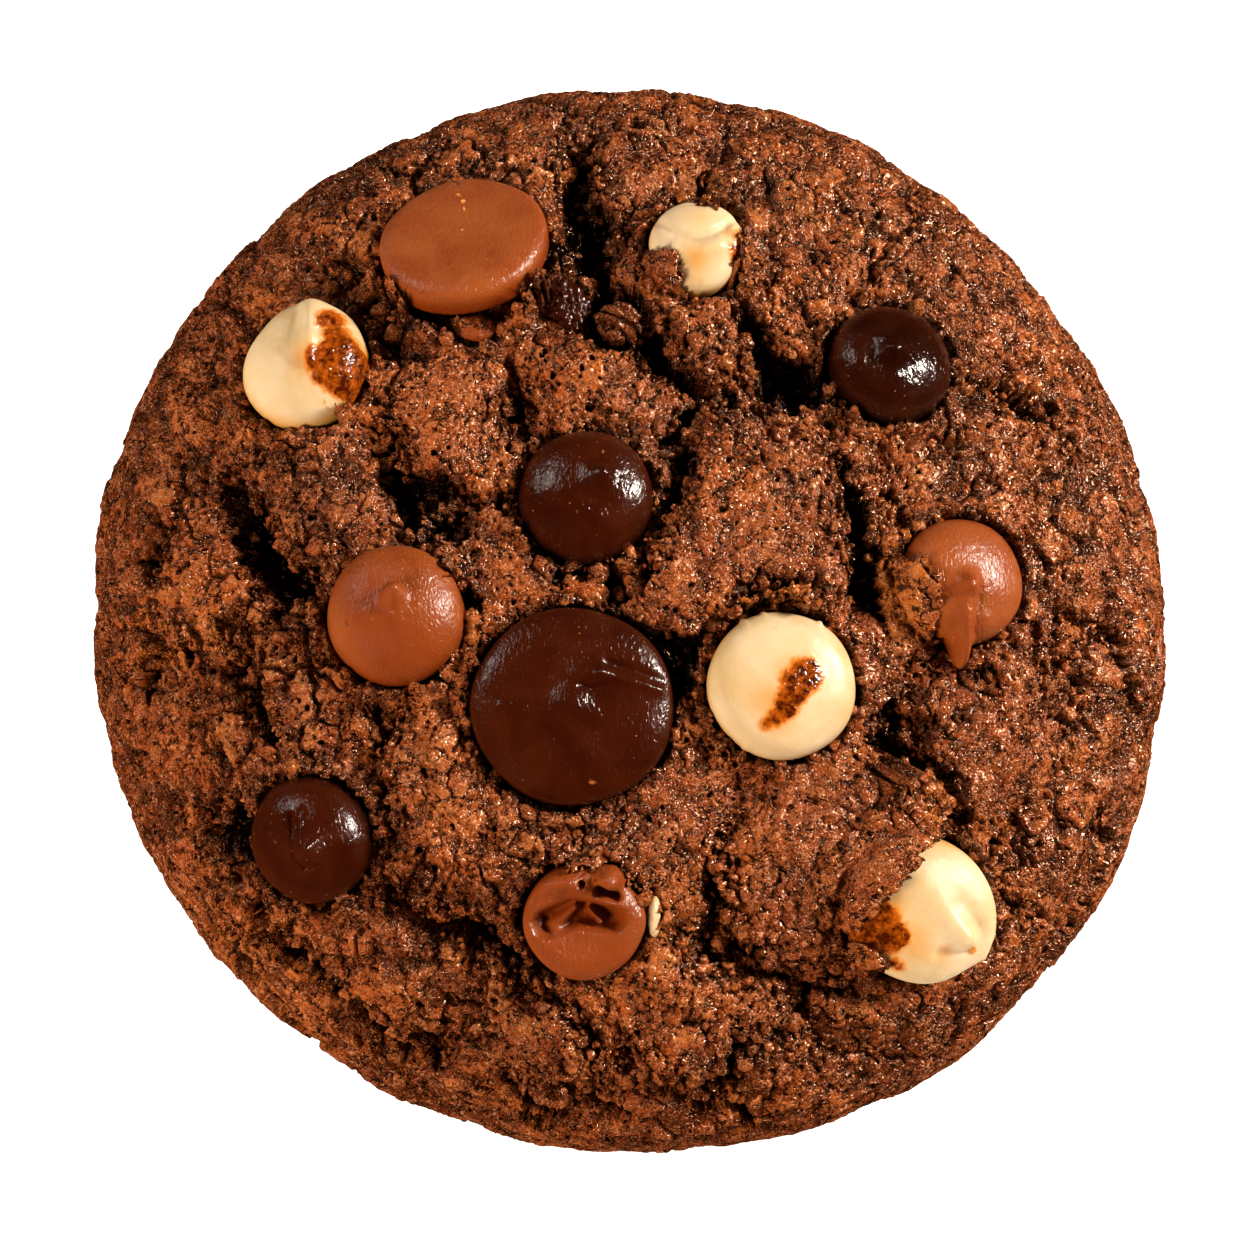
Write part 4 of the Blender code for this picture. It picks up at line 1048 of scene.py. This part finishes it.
def chip_mesh(name, rise, nub, power, peak=(0.0, 0.0), strokes=(), bulges=(), scorched=(), flecks=(),
              shade_spots=()):
    """A chip's closed skin in its seat.

    peak moves the tip, strokes and bulges shape the crown and the outline, scorched and flecks are
    ragged spots for the colour, and the last argument gives soft round spots of painted shade."""
    across, height, rows = chip_section(SEATS[name][1], rise, nub, power)
    spokes = np.linspace(0.0, math.tau, SPOKES, endpoint=False)
    heading = np.tile(spokes, SKIN_ROWS)
    across, height, run = (np.repeat(values, SPOKES) for values in (across, height, rows))
    outline = 1.0 + 0.012 * np.sin(2.0 * heading + rise) + 0.008 * np.sin(5.0 * heading + nub[1] + power)
    for bulge, spread, share in bulges:
        turn = (heading - math.radians(bulge) + math.pi) % math.tau - math.pi
        start = 0.25 if spread > 5.0 else 0.85
        outline += share * np.exp(-((turn / math.radians(spread)) ** 2)) * ease(start, 1.0,
                                                                                across / SEATS[name][1])
    lift = np.clip(height / (rise + nub[0]), 0.0, 1.0) ** 1.4
    x = across * outline * np.cos(heading) + peak[0] * lift
    y = across * outline * np.sin(heading) + peak[1] * lift
    flat = np.stack([x, y, height], axis=1)
    above = ease(-0.1, 0.4 * rise, height)
    z = height + 0.07 * gradient_noise(flat, 2.6, 23) * above + 0.02 * gradient_noise(flat, 0.7, 24) * above
    rings = np.stack([across / RIPPLE[0], np.cos(heading) * across / RIPPLE[1],
                      np.sin(heading) * across / RIPPLE[1]], axis=1)
    z += RIPPLE[2] * gradient_noise(rings, 1.0, 26) * above
    for shape in strokes:
        z = z + stroke(x, y, *shape) * above
    scorch = spots(x, y, scorched)
    z += scorch * (0.12 + 0.05 * gradient_noise(flat, 0.4, 25)) * above
    fleck = spots(x, y, flecks, 0.05, 11)
    z += 0.08 * fleck
    painted_shade = np.zeros(len(x))
    # Soft round spots of painted shade.
    for shade_x, shade_y, radius in shade_spots:
        painted_shade = np.maximum(painted_shade, np.exp(-(((x - shade_x) ** 2 + (y - shade_y) ** 2) / radius ** 2)))
    top = len(x)
    tip = [peak[0], peak[1], rise + nub[0] + sum(float(stroke(*np.array([peak]).T,
                                                              *shape)[0]) for shape in strokes)]
    local = np.concatenate([np.stack([x, y, z], axis=1), [tip, [0.0, 0.0, -ROOT_DEPTH]]])
    seat = np.array(seat_frame(name))
    points = local @ seat[:3, :3].T + seat[:3, 3]
    first = np.arange(SPOKES)
    last = first + (SKIN_ROWS - 1) * SPOKES
    after = np.roll(first, -1)
    crown_fan = np.stack([np.full(SPOKES, top), first, after], axis=1)
    root_fan = np.stack([last, np.full(SPOKES, top + 1), last[after]], axis=1)
    # The rim mask grows towards the chip's foot, for painted shade there.
    masks = {"rim": 1.0 - ease(-0.2, 0.55 * rise, z), "scorch": scorch, "fleck": fleck, "painted_shade": painted_shade}
    plan = np.concatenate([plan_of(run, heading), [[0.0, 0.0], [0.0, 0.0]]])
    faces = (grid_quads(SKIN_ROWS, SPOKES, True), crown_fan, root_fan)
    return shell_mesh(name, points, faces, np.array([], int), masks, plan)


def bit_mesh(name, half, turn, seed, rough=0.0, grooves=0.0):
    """A broken bit: a rounded lump with blunt facets, pimpled where rough or grooved across, in its seat."""
    rows, spokes = 60, 90
    tilt = np.repeat(np.linspace(0.0, math.pi, rows + 2)[1:-1], spokes)
    heading = np.tile(np.linspace(0.0, math.tau, spokes, endpoint=False), rows)
    ball = np.stack([np.sin(tilt) * np.cos(heading), np.sin(tilt) * np.sin(heading), np.cos(tilt)], axis=1)
    ball = np.concatenate([ball, [[0.0, 0.0, 1.0], [0.0, 0.0, -1.0]]])
    size = 1.0 + 0.10 * gradient_noise(ball, 0.9, seed) + 0.04 * gradient_noise(ball, 0.3, seed + 1)
    size += rough * (np.abs(gradient_noise(ball, 0.45, seed + 2)) + 0.6 * gradient_noise(ball, 0.18,
                                                                                         seed + 3) - 0.3)
    size -= grooves * (0.5 + 0.5 * np.cos(11.0 * (ball[:, 0] + 0.15 * gradient_noise(ball, 0.6,
                                                                                     seed + 4)))) ** 2
    local = ball * np.array(half) * size[:, None]
    seat = np.array(seat_frame(name) @ Matrix.Rotation(math.radians(turn), 4, "Z"))
    points = local @ seat[:3, :3].T + seat[:3, 3]
    first = np.arange(spokes)
    last = first + (rows - 1) * spokes
    after = np.roll(first, -1)
    crown_fan = np.stack([np.full(spokes, len(ball) - 2), first, after], axis=1)
    root_fan = np.stack([last, np.full(spokes, len(ball) - 1), last[after]], axis=1)
    blank = np.zeros(len(ball))
    # The rim mask grows towards the bit's underside, for painted shade there.
    masks = {"rim": 0.6 - 0.6 * ball[:, 2], "scorch": blank, "fleck": blank, "painted_shade": blank}
    plan = np.concatenate([plan_of(tilt, heading), [[0.0, 0.0], [0.0, 0.0]]])
    faces = (grid_quads(rows, spokes, True), crown_fan, root_fan)
    return shell_mesh(name, points, faces, np.array([], int), masks, plan)


def chocolate(name, shades, rim, scorch, halo, fleck, roughness, ripple_height):
    """Cast chocolate: a satin skin over slow swirls, with fine ripples that break up its gloss."""
    material, tree, shader, place = new_material(name)
    slow = node(tree, "ShaderNodeTexNoise", {"Scale": 260.0, "Detail": 3.0, "Distortion": 0.6},
                Vector=place)
    drawn = node(tree, "ShaderNodeVectorMath", {"operation": "MULTIPLY", 1: (1.0, 0.5, 1.0)}, _0=place)
    ripple = node(tree, "ShaderNodeTexNoise", {"Scale": 4200.0, "Detail": 2.0, "Roughness": 0.55,
                                               "Distortion": 0.6},
                  Vector=drawn.outputs[0])
    rim_share, scorch_share, fleck_share, painted_shade_share = (
        node(tree, "ShaderNodeAttribute", {"attribute_name": mask}).outputs["Fac"]
        for mask in ("rim", "scorch", "fleck", "painted_shade"))
    tone = node(tree, "ShaderNodeValToRGB", {}, Fac=slow.outputs["Fac"])
    tone.color_ramp.elements[0].position, tone.color_ramp.elements[0].color = 0.35, linear(shades[0])
    tone.color_ramp.elements[1].position, tone.color_ramp.elements[1].color = 0.65, linear(shades[1])
    # Darker towards each piece's foot: painted shade, warm yellow on the white chocolate.
    colour = blend_colour(tree, remap(tree, rim_share, 0.1, 1.0, 0.0, 0.9), rim, tone.outputs[0])
    # Darker in soft round spots: painted shade.
    colour = blend_colour(tree, remap(tree, painted_shade_share, 0.0, 1.0, 0.0, 0.7), rim, colour)
    colour = blend_colour(tree, remap(tree, scorch_share, 0.04, 0.34, 0.0, 0.9), halo, colour)
    burnt = node(tree, "ShaderNodeTexNoise", {"Scale": 1500.0, "Detail": 3.0, "Roughness": 0.7},
                 Vector=place)
    cooked = node(tree, "ShaderNodeMath", {"operation": "MULTIPLY_ADD", 1: 0.25}, _0=scorch_share,
                  _2=burnt.outputs["Fac"])
    caramel = node(tree, "ShaderNodeValToRGB", {}, Fac=cooked.outputs[0])
    caramel.color_ramp.elements[0].position, caramel.color_ramp.elements[0].color = 0.58, linear(scorch[1])
    caramel.color_ramp.elements[1].position, caramel.color_ramp.elements[1].color = 0.84, linear(scorch[0])
    mixed = node(tree, "ShaderNodeMix", {"data_type": "RGBA"}, Factor=remap(tree, scorch_share, 0.32, 0.6))
    tree.links.new(colour, mixed.inputs[6])
    tree.links.new(caramel.outputs[0], mixed.inputs[7])
    colour = blend_colour(tree, fleck_share, fleck, mixed.outputs[2])
    dust = node(tree, "ShaderNodeTexVoronoi", {"Scale": 1500.0}, Vector=place)
    lot = node(tree, "ShaderNodeSeparateColor", {}, Color=dust.outputs["Color"])
    speck = node(tree, "ShaderNodeMath", {"operation": "MULTIPLY"},
                 _0=remap(tree, dust.outputs["Distance"], 0.11, 0.06),
                 _1=remap(tree, lot.outputs[0], 0.62, 0.95, 0.0, 0.6))
    colour = blend_colour(tree, speck.outputs[0], fleck, colour)
    tree.links.new(colour, shader.inputs["Base Color"])
    gloss = remap(tree, slow.outputs["Fac"], 0.35, 0.65, roughness[0], roughness[1])
    wet_gloss = node(tree, "ShaderNodeMix", {"data_type": "FLOAT", 3: 0.12}, Factor=scorch_share)
    tree.links.new(gloss, wet_gloss.inputs[2])
    tree.links.new(wet_gloss.outputs[0], shader.inputs["Roughness"])
    shader.inputs["IOR"].default_value = 1.46
    bump = node(tree, "ShaderNodeBump", {"Strength": 1.0, "Distance": ripple_height},
                Height=ripple.outputs["Fac"])
    blister = node(tree, "ShaderNodeTexNoise", {"Scale": 4200.0, "Detail": 0.0}, Vector=place)
    blistered = node(tree, "ShaderNodeMath", {"operation": "MULTIPLY"}, _0=scorch_share,
                     _1=blister.outputs["Fac"])
    rough_patch = node(tree, "ShaderNodeBump", {"Strength": 1.0, "Distance": 0.00011},
                       Height=blistered.outputs[0],
                       Normal=bump.outputs[0])
    tree.links.new(rough_patch.outputs[0], shader.inputs["Normal"])
    return material


milk = chocolate("milk_chocolate", ("#783512", "#844016"), "#682504", ("#5A2108", "#8A3E0C"), "#7A3A12",
                 "#E08A40",
                 (0.26, 0.36), 0.0001)
MILK = {
    "milk_disc": {
        "rise": 1.7, "nub": (0.0, 1.0), "power": 4.6,
        "strokes": ((((-0.9, 6.0), (-0.6, 4.9)), (0.26, 0.12), (-0.25, -0.1)),
                    (((0.4, -4.4), (0.2, -5.0), (0.5, -5.8)), (0.12, 0.12), (0.12, 0.10))),
        "flecks": ((-0.42, 3.9, 0.17), (0.05, 3.1, 0.10), (0.1, 2.3, 0.13), (0.1, 0.1, 0.08)),
    },
    "milk_chip_left": {
        "rise": 3.5, "nub": (1.5, 0.72), "power": 2.3, "peak": (0.69, 1.12),
        "strokes": ((((0.69, 0.4), (0.77, -1.9)), (0.7, 0.5), (0.25, 0.1)),
                    (((-3.1, -0.9),), (0.14, 0.14), (-0.3, -0.3)),
                    (((-0.5, 1.9), (-1.6, 0.6)), (0.9, 0.8), (-0.18, -0.1))),
        "shade_spots": ((0.5, -2.6, 3.2), (-1.6, 1.4, 2.6)),
    },
    "milk_chip_right": {
        "rise": 3.3, "nub": (1.0, 0.75), "power": 2.3, "peak": (-0.75, -0.6),
        "strokes": ((((-0.75, -0.6), (-0.7, -2.2), (-0.4, -4.2), (-0.2, -6.4)), (0.95, 0.36), (0.5, 0.9)),
                    (((0.3, -0.8), (0.2, -1.8), (0.1, -2.8), (0.0, -3.9)), (0.3, 0.36), (-0.25, -0.32)),
                    (((0.7, -1.9), (2.0, -2.1), (3.4, -1.9)), (0.7, 0.6), (-0.12, -0.1))),
        "bulges": ((-93.0, 6.5, 0.40),),
    },
    "milk_chip_melted": {
        "rise": 1.9, "nub": (0.0, 1.0), "power": 3.2,
        "strokes": ((((0.0, 0.4),), (2.7, 2.7), (-0.7, -0.7), 4.0),
                    (((-2.5, 0.0), (-0.5, 0.7), (2.2, 0.4)), (0.95, 0.9), (-1.5, -1.5), 4.0),
                    (((-2.4, 2.9), (-0.9, 3.0), (0.6, 2.2), (2.5, 1.1)), (0.7, 0.5), (0.6, 0.6)),
                    (((1.4, 2.4), (2.4, 2.0)), (0.42, 0.34), (-1.4, -1.3), 4.0),
                    (((0.0, 2.9),), (0.24, 0.24), (-1.3, -1.3), 4.0),
                    (((-1.9, -0.1), (-0.5, 1.1)), (0.6, 0.32), (0.9, 1.2), 3.0),
                    (((0.5, 1.0), (1.3, 0.1)), (0.28, 0.22), (1.2, 1.1), 3.0),
                    (((2.0, 3.3),), (0.85, 0.85), (1.5, 1.5), 4.0),
                    (((-3.7, 0.1), (-2.5, 0.2)), (0.12, 0.18), (-0.2, -0.35))),
        "bulges": ((58.0, 14.0, 0.12), (-75.0, 40.0, 0.03), (4.0, 20.0, 0.08)),
        "shade_spots": ((0.0, 0.3, 5.0),),
    },
}
for name, chip in MILK.items():
    add_piece(name, chip_mesh(name, **chip), milk, name)
add_piece("milk_bit", bit_mesh("milk_bit", (1.5, 0.9, 0.8), -8.0, 61, 0.16), milk,
          "milk_bit")

# Dark chocolate: three chips, a disc and a chunk
# The same kind of drops cast in dark chocolate, painted darker towards their rims as shade. Their skins
# are glossier, and the disc's is pimpled where its fat came to the surface.

dark = chocolate("dark_chocolate", ("#280902", "#340F02"), "#120401", ("#1C0602", "#3C1204"), "#2E0C03",
                 "#B06A35",
                 (0.14, 0.24), 0.00007)
DARK = {
    "dark_chip_right": {
        "rise": 3.4, "nub": (0.9, 0.9), "power": 2.2, "peak": (-0.63, -0.64),
        "strokes": ((((-1.5, 0.5), (-0.7, 0.5), (0.2, -0.3), (0.9, -1.1)), (0.30, 0.25), (0.22, 0.12)),
                    (((-2.2, 0.3), (-1.9, -1.4)), (0.7, 0.8), (-0.25, -0.3)),
                    (((-0.6, -0.7), (-0.4, -2.2)), (0.8, 0.5), (0.2, 0.1))),
        "shade_spots": ((0.0, 0.0, 6.0),),
    },
    "dark_chip_middle": {
        "rise": 3.2, "nub": (0.9, 0.9), "power": 2.2, "peak": (1.23, 0.72),
        "strokes": ((((0.4, -0.5), (0.9, -0.62)), (0.2, 0.16), (0.14, 0.1)),
                    (((0.1, 1.5), (1.1, 1.75), (2.0, 1.1)), (0.5, 0.4), (0.12, 0.1)),
                    (((0.9, -0.9), (1.6, -1.3)), (0.7, 0.6), (-0.22, -0.15))),
        "flecks": ((-0.6, -1.9, 0.06), (1.2, 2.6, 0.06)),
    },
    "dark_disc": {
        "rise": 1.9, "nub": (0.5, 1.3), "power": 3.4,
        "strokes": ((((0.5, 2.2), (2.0, 2.0)), (0.8, 0.7), (0.35, 0.6)),
                    (((0.7, 1.35), (1.5, 1.05), (2.4, 1.35)), (0.2, 0.16), (-0.28, -0.22)),
                    (((2.2, 2.25), (4.2, 1.65), (6.3, 1.0)), (0.36, 0.3), (0.42, 0.30)),
                    (((2.6, 2.9), (4.5, 2.3), (6.4, 1.6)), (0.4, 0.35), (-0.25, -0.2)),
                    (((-5.6, 0.6), (-5.3, 0.2)), (0.2, 0.12), (-0.2, -0.2))),
        "flecks": ((-4.5, -4.0, 0.10), (1.3, -5.6, 0.09)),
    },
    "dark_chip_low_left": {
        "rise": 3.2, "nub": (0.5, 1.1), "power": 2.2, "peak": (0.9, -0.1),
        "strokes": ((((0.9, 1.6), (1.2, -0.3)), (1.0, 1.1), (0.25, 0.7)),
                    (((-0.25, 2.1), (-0.1, 0.5), (0.0, -0.9), (0.7, -1.6), (1.7, -1.3)), (0.2, 0.15),
                     (-0.3, -0.3)),
                    (((0.56, 2.5), (0.8, 1.1), (1.2, -0.3), (1.95, 0.4), (2.9, 1.6)), (0.24, 0.24),
                     (0.22, 0.12)),
                    (((-1.8, 1.6), (-1.5, 0.6)), (0.45, 0.4), (-0.12, -0.12))),
    },
}
for name, chip in DARK.items():
    add_piece(name, chip_mesh(name, **chip), dark, name)
chunk = bit_mesh("dark_chunk_top", (1.5, 2.0, 1.2), 25.0, 71, 0.3)
add_piece("dark_chunk_top", chunk, dark, "dark_chunk_top")
striped = bit_mesh("striped_crumb", (1.6, 1.7, 1.5), 60.0, 91, 0.12, 0.4)
add_piece("striped_crumb", striped, dough_material, "dough")

# White chocolate: four chips and a bit
# Ivory drops whose milk sugar browned where the hot dough touched them, in ragged wet caramel patches.
# Their rims and soft spots of their skins are painted yellower as warm shade.

white = chocolate("white_chocolate", ("#B89C6E", "#C2AC8A"), "#B87E2C", ("#3E1101", "#9C480A"), "#BE7014",
                  "#B87428",
                 (0.38, 0.48), 0.00002)
milky = white.node_tree.nodes["Principled BSDF"].inputs
milky["Subsurface Weight"].default_value = 0.25
milky["Subsurface Radius"].default_value = (1.0, 0.6, 0.3)
milky["Subsurface Scale"].default_value = 0.0012
WHITE = {
    "white_chip_left": {
        "rise": 3.4, "nub": (0.3, 1.1), "power": 2.3, "peak": (1.2, 0.4),
        "strokes": ((((0.84, 5.0), (1.3, 3.0), (1.43, 1.4), (1.40, -1.1)), (1.15, 0.42), (0.9, 0.35)),
                    (((0.1, 3.2), (-0.02, 1.6), (-0.3, 0.5), (-0.7, 0.0)), (0.35, 0.25), (-0.09, -0.03)),
                    (((2.0, 1.6), (1.95, 0.4), (2.0, -0.5)), (0.2, 0.15), (-0.08, -0.05))),
        "bulges": ((140.0, 22.0, -0.05),),
        "scorched": ((2.7, 2.2, 0.85), (3.1, 0.9, 0.8), (3.6, -0.5, 1.4), (2.0, -1.2, 0.95),
                     (2.5, -1.95, 1.0),
                     (3.2, -2.2, 1.1), (3.6, -2.5, 0.8), (4.2, -1.1, 1.3)),
        "flecks": ((2.2, -3.75, 0.10), (2.3, -4.0, 0.08)),
        "shade_spots": ((0.7, -0.9, 1.1),),
    },
    "white_chip_top": {
        "rise": 2.2, "nub": (0.0, 1.0), "power": 2.6, "peak": (0.3, 0.0),
        "strokes": ((((-3.0, 1.9), (-1.6, 0.5), (-0.4, 0.0), (1.0, 0.3), (2.0, 0.9), (3.0, 2.0)),
                     (0.4, 0.3), (-0.28, -0.2)),
                    (((-1.6, -0.9), (0.2, -1.2), (1.6, -0.6)), (0.8, 0.7), (0.35, 0.4)),
                    (((0.2, 1.9),), (1.3, 1.3), (0.3, 0.3)),
                    (((2.6, 1.0), (2.9, 0.2)), (0.4, 0.4), (0.35, 0.2)),
                    (((0.2, 3.2),), (0.5, 0.5), (-0.4, -0.4))),
        "bulges": ((-150.0, 30.0, -0.16), (-25.0, 22.0, -0.12)),
        "scorched": ((3.1, -0.9, 0.6), (3.4, 0.3, 0.45)),
        "shade_spots": ((0.0, -1.6, 1.0), (2.6, 0.4, 0.8)),
    },
    "white_chip_middle": {
        "rise": 2.9, "nub": (0.2, 1.4), "power": 2.6,
        "bulges": ((121.4, 2.0, 0.04), (105.0, 2.0, 0.03), (58.9, 2.2, 0.04), (-120.0, 2.6, 0.02)),
        "scorched": ((1.5, 0.7, 1.15), (0.9, 0.1, 1.15), (0.5, -0.8, 1.0), (0.1, -1.6, 0.85),
                     (-0.5, -2.3, 0.6),
                     (-1.2, -2.75, 0.4)),
        "flecks": ((-0.6, 3.9, 0.10), (-2.1, 1.0, 0.05), (3.0, -2.6, 0.05)),
        "shade_spots": ((-0.9, -1.3, 1.7), (-0.5, -2.4, 1.5), (0.2, 0.9, 1.2)),
    },
    "white_chip_low_right": {
        "rise": 3.2, "nub": (0.5, 1.1), "power": 2.3, "peak": (2.6, -1.4),
        "strokes": ((((-1.5, 3.4), (0.2, 1.6), (1.6, 0.2), (2.8, -1.4)), (1.3, 0.8), (0.15, 0.4)),
                    (((0.8, -2.6), (1.8, -2.3), (3.0, -2.5)), (0.35, 0.3), (-0.16, -0.12)),
                    (((2.2, 0.9), (3.6, -0.7)), (0.8, 0.6), (-0.2, -0.2))),
        "bulges": ((-35.0, 8.0, 0.05), (-62.0, 16.0, -0.05)),
        "scorched": ((-4.4, -0.8, 1.5), (-3.2, -0.2, 1.1), (-2.8, -1.4, 1.3), (-4.0, -2.2, 1.1),
                     (-2.2, -3.5, 0.3),
                     (-1.7, -3.8, 0.25)),
        "flecks": ((3.25, -2.35, 0.30),),
        "shade_spots": ((-0.9, -1.8, 1.4), (-2.6, 0.9, 0.9), (1.2, -2.4, 0.6)),
    },
}
for name, chip in WHITE.items():
    add_piece(name, chip_mesh(name, **chip), white, name)
add_piece("white_bit", bit_mesh("white_bit", (0.5, 1.5, 0.8), 0.0, 81), white,
          "white_bit")

# Floor, light and camera
# A pale sweep under soft studio light: a broad key from the upper right and a weak fill from the left.
# The camera looks nearly straight down, tipped ten degrees towards the near side.

FRAME_PIXELS = 1254
COOKIE_PIXELS = 1084
COOKIE_MIDDLE_PIXEL = 618
CAMERA_ELEVATION = 80.0
CAMERA_DISTANCE = 0.55
COOKIE_WIDTH = 0.080


def add_light(name, place, target, size, power, colour):
    """A soft square light that faces its target."""
    light = bpy.data.lights.new(name, "AREA")
    light.shape = "SQUARE"
    light.size = size
    light.energy = power
    light.color = linear(colour)[:3]
    lamp = bpy.data.objects.new(name, light)
    lamp.location = place
    lamp.rotation_euler = (Vector(target) - Vector(place)).to_track_quat("-Z", "Y").to_euler()
    bpy.context.scene.collection.objects.link(lamp)
    return lamp


bpy.ops.mesh.primitive_plane_add(size=3.0, location=(0.0, 0.0, -0.0002))
floor = bpy.context.active_object
floor.name = "floor"
floor_material, tree, shader, place = new_material("pale_board")
shader.inputs["Base Color"].default_value = linear("#C4C3C1")
shader.inputs["Roughness"].default_value = 0.8
shader.inputs["Emission Color"].default_value = linear("#FFFFFF")
shader.inputs["Emission Strength"].default_value = 0.85
floor.data.materials.append(floor_material)
floor.visible_glossy = False

world = bpy.data.worlds.new("studio")
world.use_nodes = True
background = world.node_tree.nodes["Background"]
background.inputs["Color"].default_value = linear("#FFF2E4")
sky = node(world.node_tree, "ShaderNodeTexCoord")
rise = node(world.node_tree, "ShaderNodeSeparateXYZ", {}, Vector=sky.outputs["Generated"])
glow = remap(world.node_tree, rise.outputs["Z"], 0.2, 0.95, 0.30, 0.08)
world.node_tree.links.new(glow, background.inputs["Strength"])
world.cycles_visibility.glossy = False
bpy.context.scene.world = world
add_light("key", (0.52, 0.18, 0.34), (0.0, 0.0, 0.015), 0.13, 9.8, "#FFF4E6")
add_light("fill", (-0.45, -0.30, 0.34), (0.0, 0.0, 0.015), 0.24, 6.6, "#FFEEDC").visible_glossy = False
add_light("window", (-0.50, 0.30, 0.34), (0.0, 0.0, 0.015), 0.20, 0.9, "#FFF6EC")

pixel = COOKIE_WIDTH / COOKIE_PIXELS
tilt = math.radians(CAMERA_ELEVATION)
forward = Vector((0.0, math.cos(tilt), -math.sin(tilt)))
upward = Vector((0.0, math.sin(tilt), math.cos(tilt)))
target = Vector((0.0, 0.0, WAIST_HEIGHT * MM)) - upward * (FRAME_PIXELS / 2 - COOKIE_MIDDLE_PIXEL) * pixel
camera_data = bpy.data.cameras.new("camera")
camera_data.sensor_width = 36.0
camera_data.lens = 36.0 * CAMERA_DISTANCE / (FRAME_PIXELS * pixel)
camera = bpy.data.objects.new("camera", camera_data)
camera.location = target - forward * CAMERA_DISTANCE
camera.rotation_euler = forward.to_track_quat("-Z", "Y").to_euler()
bpy.context.scene.collection.objects.link(camera)
bpy.context.scene.camera = camera
bpy.context.scene.view_settings.view_transform = "Standard"
